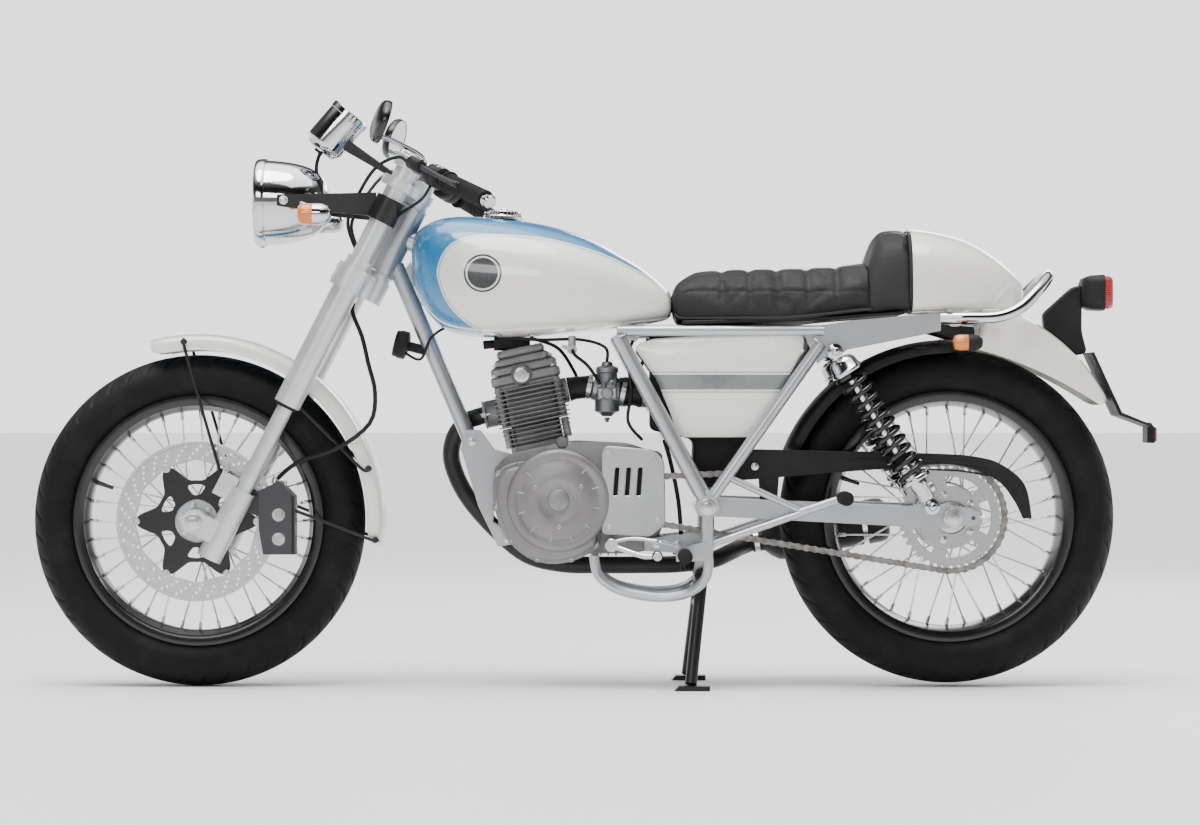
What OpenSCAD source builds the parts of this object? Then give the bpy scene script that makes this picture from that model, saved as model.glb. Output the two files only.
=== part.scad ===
/* [Wheels] */
// Outer diameter of the front tyre
front_tyre_d = 608; // [560:1:640]
// Width of the front tyre
front_tyre_w = 110; // [90:1:120]
// Outer diameter of the rear tyre
rear_tyre_d = 614; // [570:1:650]
// Width of the rear tyre
rear_tyre_w = 130; // [100:1:136]
// Diameter of the rims where the tyres seat
rim_seat_d = 433; // [400:1:450]
// Number of spokes in each wheel, a multiple of four
spoke_count = 36; // [24:4:40]
// Diameter of a spoke
spoke_d = 4; // [3:0.5:5]
// Outer diameter of the front brake disc
disc_d = 292; // [240:1:320]
// Outer diameter of the rear sprocket
sprocket_d = 182; // [150:1:200]

/* [Frame] */
// Distance between the two axles
wheelbase = 1373; // [1340:1:1650]
// Height of the middle of the steering head
head_z = 818; // [780:1:860]
// Steering head angle from the vertical
rake = 27; // [24:0.5:30]
// Length of the steering head tube
head_len = 140; // [120:1:160]
// Outer diameter of the steering head tube
head_d = 54; // [48:1:60]
// Diameter of the front down tube
downtube_d = 30; // [24:1:36]
// Diameter of the V tubes that carry the swinging arm
vee_d = 28; // [22:1:32]
// Diameter of the seat rails
rail_d = 20; // [16:1:24]
// Height of the seat rails
rail_z = 650; // [640:1:680]
// Half the distance between the seat rails
rail_y = 105; // [100:1:110]
// How far the rear tyre hangs clear of the floor on the centre stand
stand_lift = 5; // [3:1:20]

/* [Fork] */
// Half the distance between the fork legs
leg_y = 95; // [92:1:105]
// Distance of the legs ahead of the steering axis
fork_offset = 35; // [30:1:40]
// Distance of the axle ahead of the legs
axle_lead = 53; // [50:1:60]
// Diameter of the fork's upper outer tubes
fork_upper_d = 40; // [36:1:44]
// Diameter of the fork's lower outer tubes
fork_outer_d = 50; // [46:1:50]
// Diameter of the fork's chromed inner tubes
fork_inner_d = 30; // [26:1:34]
// Diameter of the axles
axle_d = 17; // [15:1:20]
// Reach of the handlebar ends from the middle of the machine
bar_half = 340; // [300:1:380]

/* [Bodywork] */
// Length of the fuel tank
tank_len = 477; // [440:1:490]
// Width of the fuel tank
tank_w = 286; // [250:1:300]
// Height of the top of the fuel tank
tank_top = 862; // [845:1:880]
// Width of the seat
seat_w = 244; // [220:1:260]
// Height of the seat where the rider sits
seat_top = 761; // [750:1:790]
// Thickness of the mudguards
guard_t = 2; // [1.5:0.5:3]

/* [Lights] */
// Diameter of the headlamp
lamp_d = 162; // [150:1:180]
// Diameter of the speedometer
meter_d = 78; // [70:1:90]

/* [Engine] */
// Width of the crankcase without its covers
case_w = 150; // [140:1:156]
// Lean of the cylinder ahead of the vertical
cylinder_lean = 12; // [8:1:16]
// Diameter of the exhaust pipe
pipe_d = 32; // [28:1:36]
// Diameter of the silencer
silencer_d = 84; // [76:1:88]

/* [Hidden] */
$fn = 48;

// Colours
cream = [0.94, 0.93, 0.89];
sky_blue = [0.30, 0.60, 0.76];
silver = [0.78, 0.79, 0.80];
engine_grey = [0.55, 0.55, 0.56];
chrome = [0.86, 0.87, 0.89];
black = [0.06, 0.06, 0.07];
vinyl = [0.10, 0.10, 0.10];
amber = [1.0, 0.55, 0.10];

// Gaps
seat_gap = 0.3;     // between pieces that rest on each other through a thin washer or pad
running_gap = 0.05; // radial clearance of a shaft in its bore

// Steering geometry: u runs ahead of the steering axis and s up along it
head_x = 366;
front_r = front_tyre_d / 2;
axle_u = fork_offset + axle_lead;
axle_s = -(head_z - front_r + axle_u * sin(rake)) / cos(rake);
front_axle = [head_x + axle_u * cos(rake) - axle_s * sin(rake), 0, front_r];
stem_r = 16;
top_clamp_s = 91;
low_clamp_s = -100;
leg_top_s = 150;
leg_bottom_s = axle_s - 48;
foot_top_s = axle_s + 90;
outer_low_s = axle_s + 265;
leg_in_upper = leg_y - fork_outer_d / 2;

// Rear geometry
rear_r = rear_tyre_d / 2;
rear_axle = [front_axle.x - wheelbase, 0, rear_r + stand_lift];
pivot = [-203, 0, 332];
vee_y = 137;
arm_in = 96;
arm_out = 120;
shock_y = 128;
shock_top = [rear_axle.x + 213, 0, rail_z - 38];
shock_low = [rear_axle.x + 38, 0, rear_axle.z + 20];
stand_pivot = [-195, 0, 205];
ear_y = 52;
down_top = [head_x + 1, 0, head_z - 46];
down_low = [230, 0, 451];
lug_y = 26;
rail_end_x = rear_axle.x + 20;
chain_y = 86;
chain_w = 13;
drive = [-83, 0, 345];
drive_r = 32;
cover_low = 244;
bore_foot = [96, 0, 420];
can_front = [-296, -176, 256];
can_back = [-552, -176, 302];
port_x = 86;
port_z = 98;

// Parts of the wheels
front_rim_w = 74;
rear_rim_w = 98;
rim_wall = 4;
flange_h = 13;
hub_y = 34;
front_hub_r = 42;
rear_hub_r = 60;
disc_y = 60;
disc_t = 5;
sprocket_r = sprocket_d / 2;

// ---- helpers ----
function unit(v) = v / norm(v);
function mix(a, b, t) = a + (b - a) * t;
function flip(p) = [p.x, -p.y, p.z];

// Point on a smooth curve through b and c
function blend_point(a, b, c, d, t) =
    0.5 * (2 * b + (c - a) * t + (2 * a - 5 * b + 4 * c - d) * t * t + (3 * b - a - 3 * c + d) * t * t * t);

// A list of points or stations, filled in smoothly with k steps in each gap
function smooth_list(p, k) = [
    for (i = [0:len(p) - 2], j = [0:k - 1])
        blend_point(p[max(i - 1, 0)], p[i], p[i + 1], p[min(i + 2, len(p) - 1)], j / k),
    p[len(p) - 1]
];

// World point of a place given ahead of the steering axis, across, and up along the axis
function steer_point(u, y, s) =
    [head_x + u * cos(rake) - s * sin(rake), y, head_z + u * sin(rake) + s * cos(rake)];

module both_sides() {
    children();
    mirror([0, 1, 0]) children();
}

// Round bar between two points
module rod(a, b, r) {
    d = b - a;
    translate(a) rotate([0, acos(d.z / norm(d)), atan2(d.y, d.x)]) cylinder(r = r, h = norm(d));
}

// Upright plate with an outline in x and z, from y to y + t
module plate(outline, y, t) {
    translate([0, y + t, 0]) rotate([90, 0, 0]) linear_extrude(t) polygon(outline);
}

// Cross shaft or boss at a point of x and z
module boss(p, r, y0, y1) {
    translate([p.x, y0, p.z]) rotate([-90, 0, 0]) cylinder(r = r, h = y1 - y0);
}

// Closed skin over a list of rings with as many points each
module skin(rings) {
    n = len(rings[0]);
    last = len(rings) - 1;
    polyhedron(
        points = [for (r = rings) each r],
        faces = concat(
            [for (i = [0:last - 1], j = [0:n - 1])
                [i * n + j, i * n + (j + 1) % n, (i + 1) * n + (j + 1) % n, (i + 1) * n + j]],
            [[for (j = [n - 1:-1:0]) j], [for (j = [0:n - 1]) last * n + j]]
        )
    );
}

// Ring of a lofted body: st is [x, half width, bottom, top], low is where it is widest
function body_ring(st, low, up_pow, low_pow, n) =
    let (mid = mix(st[2], st[3], low))
    [for (i = [0:n - 1])
        let (a = 360 * (i + 0.5) / n, c = cos(a), s = sin(a), e = s > 0 ? up_pow : low_pow)
        [st[0], st[1] * sign(c) * pow(abs(c), 2 / e),
            mid + (s > 0 ? st[3] - mid : mid - st[2]) * sign(s) * pow(abs(s), 2 / e)]];

module body_loft(stations, steps, low, up_pow, low_pow, n = 28) {
    skin([for (st = smooth_list(stations, steps)) body_ring(st, low, up_pow, low_pow, n)]);
}

// Bent tube along a path; up is never along the path
module bent_tube(path, r, up = [0, 1, 0], n = 12) {
    last = len(path) - 1;
    skin([for (i = [0:last])
        let (
            t = unit(path[min(i + 1, last)] - path[max(i - 1, 0)]),
            side = unit(cross(up, t)),
            over = cross(t, side)
        )
        [for (j = [0:n - 1]) path[i] + r * (cos(360 * j / n) * side - sin(360 * j / n) * over)]]);
}

// Put children made about z onto a cross axle at p, with z turned to y
module on_axle(p) {
    translate(p) rotate([-90, 0, 0]) children();
}

// Arc of a mudguard about the point p, from one angle to another, 0 ahead and 90 up
module guard_arc(p, r, half_w, skirt, a0, a1) {
    crown = 14;
    translate(p) rotate([90, 0, 0]) rotate_extrude(angle = a1 - a0, start = a0)
        polygon([
            [r - skirt, -half_w], [r - crown, -half_w], [r - 4, -half_w + crown], [r, 0],
            [r - 4, half_w - crown], [r - crown, half_w], [r - skirt, half_w],
            [r - skirt, half_w - guard_t], [r - crown - 1, half_w - guard_t],
            [r - 4 - guard_t, half_w - crown - 1], [r - guard_t, 0],
            [r - 4 - guard_t, -half_w + crown + 1], [r - crown - 1, -half_w + guard_t],
            [r - skirt, -half_w + guard_t]
        ]);
}

// Steering frame: x ahead of the steering axis, z up along it
module steer() {
    translate([head_x, 0, head_z]) rotate([0, -rake, 0]) children();
}

// ---- wheels ----
module tyre_shape(outer_r, w, rim_w) {
    seat_r = rim_seat_d / 2 + seat_gap;
    lip = rim_w / 2 - rim_wall - seat_gap;
    side_low = seat_r + flange_h + 1;
    wide_r = mix(side_low, outer_r, 0.4);
    upper = [for (a = [0:15:90]) [wide_r + (outer_r - wide_r) * sin(a), w / 2 * cos(a)]];
    lower = [for (a = [60:-20:0]) [wide_r - (wide_r - side_low) * sin(a + 20), lip + (w / 2 - lip) * cos(a + 20)]];
    right = concat([[seat_r, lip], [side_low, lip]], lower, upper);
    left = [for (i = [len(right) - 2:-1:0]) [right[i].x, -right[i].y]];
    rotate_extrude($fn = 96) polygon(concat(right, left));
}

module rim_shape(w) {
    seat_r = rim_seat_d / 2;
    half = w / 2;
    rotate_extrude($fn = 96) polygon([
        [seat_r - 15, -11], [seat_r - 9, -half + 12], [seat_r - 5, -half + 1], [seat_r + flange_h, -half],
        [seat_r + flange_h, -half + rim_wall], [seat_r, -half + rim_wall], [seat_r - 1, -half + 16],
        [seat_r - 9, -9], [seat_r - 9, 9], [seat_r - 1, half - 16], [seat_r, half - rim_wall],
        [seat_r + flange_h, half - rim_wall], [seat_r + flange_h, half], [seat_r - 5, half - 1],
        [seat_r - 9, half - 12], [seat_r - 15, 11]
    ]);
}

module spoke_set(hub_r, lean) {
    rim_r = rim_seat_d / 2 - 15 - seat_gap;
    per_side = spoke_count / 2;
    in_r = hub_r + 0.9;
    for (side = [-1, 1], i = [0:per_side - 1]) {
        lead = i % 2 == 0 ? 1 : -1;
        at_rim = 360 * (i + (side > 0 ? 0.5 : 0)) / per_side;
        at_hub = at_rim + lead * lean;
        y_hub = side * (hub_y - 5 - lead * 3.2);
        rod([in_r * cos(at_hub), in_r * sin(at_hub), y_hub], [rim_r * cos(at_rim), rim_r * sin(at_rim), side * 5],
            spoke_d / 2);
    }
}

module front_tyre() {
    color(black) on_axle(front_axle) tyre_shape(front_r, front_tyre_w, front_rim_w);
}

module rear_tyre() {
    color(black) on_axle(rear_axle) tyre_shape(rear_r, rear_tyre_w, rear_rim_w);
}

module front_rim() {
    color(black) on_axle(front_axle) rim_shape(front_rim_w);
}

module rear_rim() {
    color(black) on_axle(rear_axle) rim_shape(rear_rim_w);
}

module front_spokes() {
    color(chrome) on_axle(front_axle) spoke_set(front_hub_r, 24);
}

module rear_spokes() {
    color(chrome) on_axle(rear_axle) spoke_set(rear_hub_r, 24);
}

module front_hub() {
    color(silver) on_axle(front_axle) difference() {
        union() {
            translate([0, 0, -hub_y]) cylinder(r = front_hub_r, h = 10);
            translate([0, 0, hub_y - 10]) cylinder(r = front_hub_r, h = 10);
            translate([0, 0, -hub_y - 20]) cylinder(r = 22, h = 2 * hub_y + 40);
            translate([0, 0, hub_y]) cylinder(r = 38, h = disc_y - hub_y);
        }
        translate([0, 0, -100]) cylinder(r = axle_d / 2 + running_gap, h = 200);
    }
}

module front_disc() {
    carrier_r = 76;
    inner_r = disc_d / 2 - 36;
    color(silver) on_axle(front_axle) translate([0, 0, disc_y]) difference() {
        union() {
            difference() {
                cylinder(r = disc_d / 2, h = disc_t, $fn = 96);
                translate([0, 0, -1]) cylinder(r = inner_r, h = disc_t + 2, $fn = 96);
            }
            cylinder(r = carrier_r, h = disc_t);
            for (i = [0:5])
                rotate(60 * i) translate([carrier_r - 6, -8, 0]) cube([inner_r - carrier_r + 12, 16, disc_t]);
        }
        translate([0, 0, -1]) cylinder(r = 22, h = disc_t + 2);
    }
}

module rear_hub() {
    color(silver) on_axle(rear_axle) difference() {
        union() {
            translate([0, 0, -hub_y - 14]) cylinder(r = rear_hub_r, h = 2 * hub_y + 14);
            translate([0, 0, -hub_y - 42]) cylinder(r = 20, h = 2 * hub_y + 84);
            translate([0, 0, hub_y]) cylinder(r = 52, h = chain_y - hub_y - 4);
        }
        translate([0, 0, -120]) cylinder(r = axle_d / 2 + running_gap, h = 240);
    }
}

module rear_sprocket() {
    color(silver) on_axle(rear_axle) translate([0, 0, chain_y - 4 + seat_gap / 3]) difference() {
        cylinder(r = sprocket_r, h = 7);
        translate([0, 0, -1]) cylinder(r = 30, h = 9);
        for (i = [0:5])
            rotate(60 * i) translate([sprocket_r * 0.68, 0, -1]) cylinder(r = 11, h = 9);
    }
}

// ---- frame ----
module main_frame() {
    spine_front = [head_x - 8, 0, head_z + 6];
    spine_rear = [-70, 0, rail_z + 24];
    color(silver) {
        difference() {
            union() {
                steer() translate([0, 0, -head_len / 2]) cylinder(d = head_d, h = head_len);
                rod(down_top, down_low, downtube_d / 2);
                rod(spine_front, spine_rear, 19);
                plate([[head_x - 10, head_z - 60], [head_x - 40, head_z - 20], [285, 762], [322, 690]], -4, 8);
            }
            steer() translate([0, 0, -head_len]) cylinder(r = stem_r + running_gap, h = 2 * head_len);
        }
        rod([spine_rear.x, -rail_y + rail_d / 2, rail_z - 5], [spine_rear.x, rail_y - rail_d / 2, rail_z - 5], 12);
        both_sides() front_lug(lug_y, 5);
        rod([229, -lug_y - 5, 450], [229, lug_y + 5, 450], 13);
        rod([240, -20.8, 782.6], [240, 20.8, 782.6], 8);
    }
}

// One of the two plates that hold the front of the crankcase
module front_lug(y, t) {
    plate([[238, 470], [212, 470], [186, 434], [150, 424], [154, 392], [187, 340], [188, 300], [150, 280],
        [142, 262], [178, 256], [214, 330], [246, 436]], y, t);
}

module rear_frame() {
    vee_top = [-40, rail_y, rail_z - 8];
    rear_top = [-409, rail_y, rail_z - 24];
    vertex = [pivot.x, vee_y, pivot.z];
    loop = smooth_list([
        [pivot.x, vee_y, pivot.z - 70], [-204, vee_y - 2, 222], [-196, vee_y - 8, 198], [-168, vee_y - 16, 176],
        [-124, vee_y - 22, 168], [-78, vee_y - 26, 172], [-36, vee_y - 29, 184], [-6, vee_y - 31, 208],
        [2, vee_y - 31, cover_low - 1.6]
    ], 4);
    sheet_x = rear_top.x + 30;
    color(silver) {
        both_sides() {
            rod(vertex + [0, 0, 6], vee_top, vee_d / 2);
            rod(vertex + [0, 0, 6], rear_top, vee_d / 2 - 3);
            rod(vertex + [0, 0, 30], vertex - [0, 0, 72], vee_d / 2 - 2);
            bent_tube(loop, 9);
            rod([-40, rail_y, rail_z], [rear_top.x - 6, rail_y, rail_z], rail_d / 2);
            plate([[sheet_x, rail_z - 8], [sheet_x - 30, rail_z + 10], [rear_top.x - 60, rail_z + 19],
                [rail_end_x, rail_z + 33], [rail_end_x, rail_z], [shock_top.x - 25, rail_z - 33],
                [shock_top.x - 8, rail_z - 46], [shock_top.x + 14, rail_z - 46], [rear_top.x + 6, rail_z - 60],
                [rear_top.x + 20, rail_z - 30]], rail_y - 2, 4);
            boss(shock_top, 7, rail_y, shock_y + 14);
            boss(pivot, 20, arm_out, vee_y + 16);
            plate([[pivot.x - 12, 262], [pivot.x + 8, 268], [-146, 256], [-146, 234], [pivot.x - 6, 234]],
                vee_y + 8, 6);
            pillion_stay();
        }
        rod([pivot.x, -vee_y, 262], [pivot.x, vee_y, 262], 13);
        rod([rear_top.x - 6, -rail_y, rail_z], [rear_top.x - 6, rail_y, rail_z], 9);
        both_sides() plate([[-90, 250], [-90, 272], [pivot.x + 12, 284], [pivot.x - 10, 262], [pivot.x, 244]],
            case_w / 2, 4);
        stand_ears();
    }
}

// Ears below the cross tube that carry the centre stand
module stand_ears() {
    both_sides() difference() {
        plate([[pivot.x - 14, 262], [pivot.x + 14, 262], [stand_pivot.x + 14, stand_pivot.z - 10],
            [stand_pivot.x - 14, stand_pivot.z - 10]], ear_y, 6);
        boss(stand_pivot, 6 + running_gap, ear_y - 10, ear_y + 20);
    }
}

// Triangle of thin tubes that holds a pillion footrest
module pillion_stay() {
    tip = [-378, vee_y, 322];
    rod([-243, vee_y - 6, 384], tip, 6.5);
    rod([pivot.x, vee_y, 262], tip, 6.5);
    rod(tip + [8, 0, 0], [-436, vee_y + 4, 344], 8);
}

module swingarm() {
    back = rear_axle + [20, 0, 0];
    end = [[rear_axle.x + 78, rear_axle.z + 22], [rear_axle.x + 30, rear_axle.z + 26],
        [rear_axle.x - 34, rear_axle.z + 17], [rear_axle.x - 50, rear_axle.z + 8],
        [rear_axle.x - 50, rear_axle.z - 10], [rear_axle.x + 10, rear_axle.z - 20],
        [rear_axle.x + 84, rear_axle.z - 18]];
    arm = [[pivot.x + 4, pivot.z + 17], [back.x + 50, rear_axle.z + 21], [back.x + 50, rear_axle.z - 17],
        [pivot.x + 4, pivot.z - 17]];
    color(silver) {
        difference() {
            union() {
                both_sides() {
                    plate(arm, arm_in, arm_out - arm_in);
                    plate(end, arm_in + 4, arm_out - arm_in - 6);
                    boss(shock_low, 8, arm_out - 4, shock_y + 14);
                    plate([[shock_low.x - 16, rear_axle.z], [shock_low.x + 16, rear_axle.z],
                        [shock_low.x + 12, shock_low.z + 12], [shock_low.x - 12, shock_low.z + 12]],
                        arm_out - 8, 8);
                }
                boss(pivot, 22, -arm_out + seat_gap, arm_out - seat_gap);
                boss(rear_axle, axle_d / 2, -arm_out - 12, arm_out + 12);
                both_sides() boss(rear_axle, 14, arm_out - 2, arm_out + 8);
            }
            both_sides() boss([rear_axle.x - 38, 0, rear_axle.z - 1], 4, arm_in, arm_out + 5);
        }
    }
}

module shock_absorbers() {
    color(chrome) both_sides() {
        difference() {
            shock_body();
            boss(shock_top, 7, rail_y, shock_y + 20);
            boss(shock_low, 8, rail_y, shock_y + 20);
        }
    }
}

module shock_body() {
    a = shock_low + [0, shock_y, 0];
    b = shock_top + [0, shock_y, 0];
    len = norm(b - a);
    boss(shock_top, 12, shock_y - 12, shock_y + 12);
    boss(shock_low, 13, shock_y - 7, shock_y + 12);
    rod(a, b, 8);
    rod(mix(a, b, 24 / len), mix(a, b, 1 - 60 / len), 12);
    rod(mix(a, b, 66 / len), mix(a, b, 1 - 90 / len), 24);
    rod(mix(a, b, 1 - 96 / len), mix(a, b, 1 - 20 / len), 28);
}

// ---- engine ----
module crankcase() {
    half = case_w / 2;
    color(engine_grey) {
        difference() {
            plate([[184, 400], [156, 427.4], [44, 451.2], [-60, 446], [-108, 430], [-128, 380], [-126, 300],
                [-104, 252], [-60, cover_low], [90, cover_low], [132, 270], [172, 308], [186, 350]], -half, case_w);
            both_sides() front_lug(lug_y - 0.2, 5.4);
        }
        boss(drive, 14, half, chain_y + 6);
        boss(drive, drive_r, chain_y - 5, chain_y + 5);
    }
}

module engine_covers() {
    half = case_w / 2;
    color(engine_grey) {
        // Generator cover
        plate([[186, 380], [166, 404], [96, 414], [20, 412], [-8, 396], [-8, cover_low], [18, cover_low],
            [44, 230], [84, 226], [124, 238], [162, 276], [184, 330]], half, 34);
        boss([66, 0, 343], 92, half + 34, half + 42);
        boss([66, 0, 343], 56, half + 42, half + 50);
        // Clutch cover
        plate([[180, 380], [150, 404], [60, 420], [-60, 414], [-104, 380], [-112, 310], [-80, 262], [-12, cover_low],
            [100, 250], [150, 278], [178, 320]], -half - 40, 40);
        boss([-20, 0, 322], 76, -half - 54, -half - 40);
    }
    color(silver) {
        // Sprocket cover, with its rim round the chain
        plate([[-13, 428], [-20, 438], [-112, 430], [-124, 410], [-124, 300], [-100, 280], [-13, 284]],
            chain_y + chain_w / 2 + 2, 22);
        plate([[-13, 428], [-20, 438], [-112, 430], [-112, 424], [-30, 424], [-30, 284], [-13, 284]],
            half, chain_y + chain_w / 2 + 3 - half);
    }
}

// Cylinder frame: z up along the bore
module at_cylinder() {
    translate(bore_foot) rotate([0, cylinder_lean, 0]) children();
}

// World point of a place in the cylinder frame
function bore_point(x, y, z) = bore_foot
    + [x * cos(cylinder_lean) + z * sin(cylinder_lean), y, z * cos(cylinder_lean) - x * sin(cylinder_lean)];

module cylinder_barrel() {
    color(engine_grey) at_cylinder() {
        translate([-52, -50, 20]) cube([104, 100, 10]);
        translate([-44, -44, 20]) cube([88, 88, 43.7]);
        for (i = [0:2])
            translate([-54, -52, 34 + i * 10]) cube([108, 104, 4]);
    }
}

module cylinder_head() {
    color(engine_grey) at_cylinder() {
        translate([-52, -50, 64]) cube([104, 100, 70]);
        for (i = [0:6])
            translate([-68, -64, 64 + i * 10.5]) cube([136, 128, 4]);
        translate([-62, -54, 130]) cube([128, 108, 48]);
        translate([-48, -46, 178]) cube([104, 92, 30]);
        translate([6, 46, 156]) rotate([-90, 0, 0]) cylinder(r = 17, h = 12);
        translate([40, -22, port_z]) rotate([0, 90, 0]) cylinder(r = 24, h = port_x - 40);
        translate([-71, 0, 112]) rotate([0, 90, 0]) cylinder(r = 22, h = 30);
    }
}

module carburettor() {
    color(black) {
        rod(bore_point(-71.2, 0, 112), bore_point(-86, 0, 112), 21);
        rod(bore_point(-80, 0, 112), [2, 0, 550], 21);
        rod([2, 0, 550], [-48, 0, 540], 27);
        rod([-22, 0, 540], [-22, 0, 504], 22);
        rod([-22, 0, 560], [-22, 0, 594], 17);
        rod([-40, 0, 538], [-99.9, 0, 538], 24);
    }
}

module air_box() {
    color(black) {
        plate([[-100, rail_z + 6], [-100, 470], [-180, 452], [-176, 364], [-232, 364], [-262, 420], [-296, 460],
            [-300, rail_z + 6]], -62, 124);
        rod([-150, -rail_y + rail_d / 2 + 0.2, rail_z], [-150, rail_y - rail_d / 2 - 0.2, rail_z], 6);
    }
}

module exhaust_pipe() {
    route = smooth_list([
        bore_point(port_x + 0.6, -22, port_z), bore_point(port_x + 8, -22, port_z),
        bore_point(port_x + 18, -23, port_z - 1), [240, -38, 484],
        [262, -54, 454], [266, -60, 410], [240, -60, 350], [190, -62, 290], [128, -66, 238], [60, -72, 220],
        [-10, -78, 218], [-90, -84, 218], [-150, -87, 219], [-204, -101, 224], [-228, -108, 229], [-252, -130, 239],
        [-268, -155, 246], mix(can_front, can_back, -0.055), mix(can_front, can_back, -0.02),
        can_front, mix(can_front, can_back, 0.06)
    ], 3);
    color(black) bent_tube(route, pipe_d / 2, [0.15, 1, 0], 16);
}

module silencer() {
    a = can_front;
    b = can_back;
    len = norm(b - a);
    color(black) difference() {
        union() {
            rod(a, mix(a, b, 24 / len), pipe_d / 2 + 3);
            rod(mix(a, b, 20 / len), mix(a, b, 44 / len), silencer_d / 2 - 10);
            rod(mix(a, b, 42 / len), b, silencer_d / 2);
            plate([[-392, 296], [-364, 296], [-362, 334], [-390, 334]], -vee_y - 19, 8.8);
        }
        rod(mix(a, b, 1 - 60 / len), mix(a, b, 1 + 20 / len), 18);
        rod(mix(a, b, -20 / len), mix(a, b, 0.06), pipe_d / 2 + 0.2);
    }
}

// ---- bodywork ----
module fuel_tank() {
    half = tank_w / 2;
    front = 337;
    k = tank_len / 477;
    drop = 862 - tank_top;
    stations = [
        [front, 26, 762, 796], [front - 3, 58, 738, 818], [front - 12, 80, 716, 836],
        [front - 31, 98, 684, 850], [front - 62, 114, 654, 860], [front - 115 * k, 132, 641, 862],
        [front - 190 * k, half, 640, 856], [front - 262 * k, half, 645, 843], [front - 330 * k, 134, 652, 820],
        [front - 390 * k, 118, 658, 788], [front - 432 * k, 102, 664, 762], [front - 463 * k, 84, 670, 736],
        [front - 474 * k, 68, 676, 722], [front - tank_len, 46, 686, 710]
    ];
    lowered = [for (s = stations) [s[0], s[1], s[2], s[3] - drop * max(0, s[3] - 800) / 62]];
    color(sky_blue) difference() {
        body_loft(lowered, 3, 0.42, 2.3, 3.2);
        spine_channel();
    }
}

// Channel along the underside that lets the tank sit over the frame's spine
module spine_channel() {
    a = [head_x - 8, 0, head_z + 6];
    b = [-70, 0, rail_z + 24];
    slope = atan2(a.z - b.z, a.x - b.x);
    translate(b) rotate([0, -slope, 0]) translate([-120, -21, -200]) cube([620, 42, 221]);
}

module fuel_cap() {
    color(chrome) translate([168, 0, tank_top - 3.2]) rotate([0, -3, 0]) {
        cylinder(r = 36, h = 6);
        translate([0, 0, 6]) cylinder(r = 30, h = 7);
        translate([0, 0, 13]) cylinder(r = 12, h = 4);
    }
}

module seat() {
    half = seat_w / 2;
    low = rail_z + rail_d / 2 + seat_gap;
    stop_x = rear_axle.x + 132;
    stations = [
        [-143, half - 44, low + 28, low + 64], [-147, half - 36, low + 8, low + 84],
        [-160, half - 30, low + 1, seat_top - 10], [-200, half - 20, low, seat_top - 4],
        [-270, half - 6, low, seat_top - 1], [-340, half, low, seat_top], [-420, half, low + 8, seat_top + 3],
        [stop_x + 34, half, low + 14, seat_top + 12], [stop_x + 14, half, low + 16, seat_top + 32],
        [stop_x, half - 2, low + 17, seat_top + 64]
    ];
    back = [
        [stop_x, half - 2, low + 20, seat_top + 66], [stop_x - 8, half - 1, low + 20, seat_top + 77],
        [stop_x - 34, half, low + 22, seat_top + 80], [rear_axle.x + 71.3, half, low + 22, seat_top + 78]
    ];
    color(vinyl) {
        difference() {
            body_loft(stations, 3, 0.3, 3.0, 5);
            translate([stop_x - 20, -200, low]) cube([20.3, 400, 300]);
        }
        body_loft(back, 2, 0.3, 2.6, 5);
    }
}

module tail_cowl() {
    half = seat_w / 2;
    low = rail_z + 33.6;
    front = rear_axle.x + 71;
    stations = [
        [front, half, low - 2, seat_top + 78], [front - 42, half - 1, low, seat_top + 73],
        [front - 101, half - 12, low, seat_top + 58], [front - 147, half - 32, low + 1, seat_top + 34],
        [front - 184, half - 58, low + 6, seat_top + 6], [front - 204, half - 82, low + 18, seat_top - 15],
        [front - 211, half - 104, low + 34, seat_top - 32]
    ];
    x = rear_axle.x;
    color(cream) {
        body_loft(stations, 3, 0.3, 2.5, 5);
        both_sides() plate([[x + 14, low + 8], [x - 34, low + 8], [x - 30, rail_z], [x, rail_z]], 90, 5);
    }
}

module side_covers() {
    stations = [
        [-74, 8, 636, 646], [-84, 9, 560, 650], [-110, 13, 480, 651], [-145, 17, 458, 652],
        [-200, 19, 456, 653], [-250, 18, 456, 654], [-290, 16, 468, 655], [-330, 13, 530, 655],
        [-365, 10, 596, 654], [-379, 7, 636, 646]
    ];
    color(cream) both_sides() translate([0, 100, 0]) difference() {
        body_loft(stations, 3, 0.7, 3.5, 3.5);
        translate([-400, -40, 400]) cube([400, 38, 300]);
        translate([0, -100, 0]) {
            cover_relief();
        }
    }
}

// Room for the frame tubes that run beside the side covers
module cover_relief() {
    rod([pivot.x, vee_y, pivot.z + 6], [-40, rail_y, rail_z - 8], vee_d / 2 + seat_gap);
    rod([pivot.x, vee_y, pivot.z + 6], [-409, rail_y, rail_z - 24], vee_d / 2 - 3 + seat_gap);
    rod([-40, rail_y, rail_z], [-415, rail_y, rail_z], rail_d / 2 + seat_gap);
}

module rear_mudguard() {
    c = rear_axle + [23, 0, 49];
    skirt = rear_axle + [135, 0, -396];
    color(cream) difference() {
        guard_arc(c, 357, 73, 92, 98, 153);
        boss(skirt, 725, -200, 200);
        translate([rear_axle.x - 400, -150, rail_z + 34.4]) cube([500, 300, 200]);
    }
}

module inner_mudguard() {
    x = rear_axle.x;
    color(black) {
        guard_arc(rear_axle, 324, 71, 26, 22, 93);
        both_sides() {
            translate([x + 44, 66, rail_z - 32]) cube([20, rail_y - 68.2, 3]);
            translate([x + 44, rail_y - 5, rail_z - 32]) cube([20, 2.8, 40]);
        }
    }
}

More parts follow.
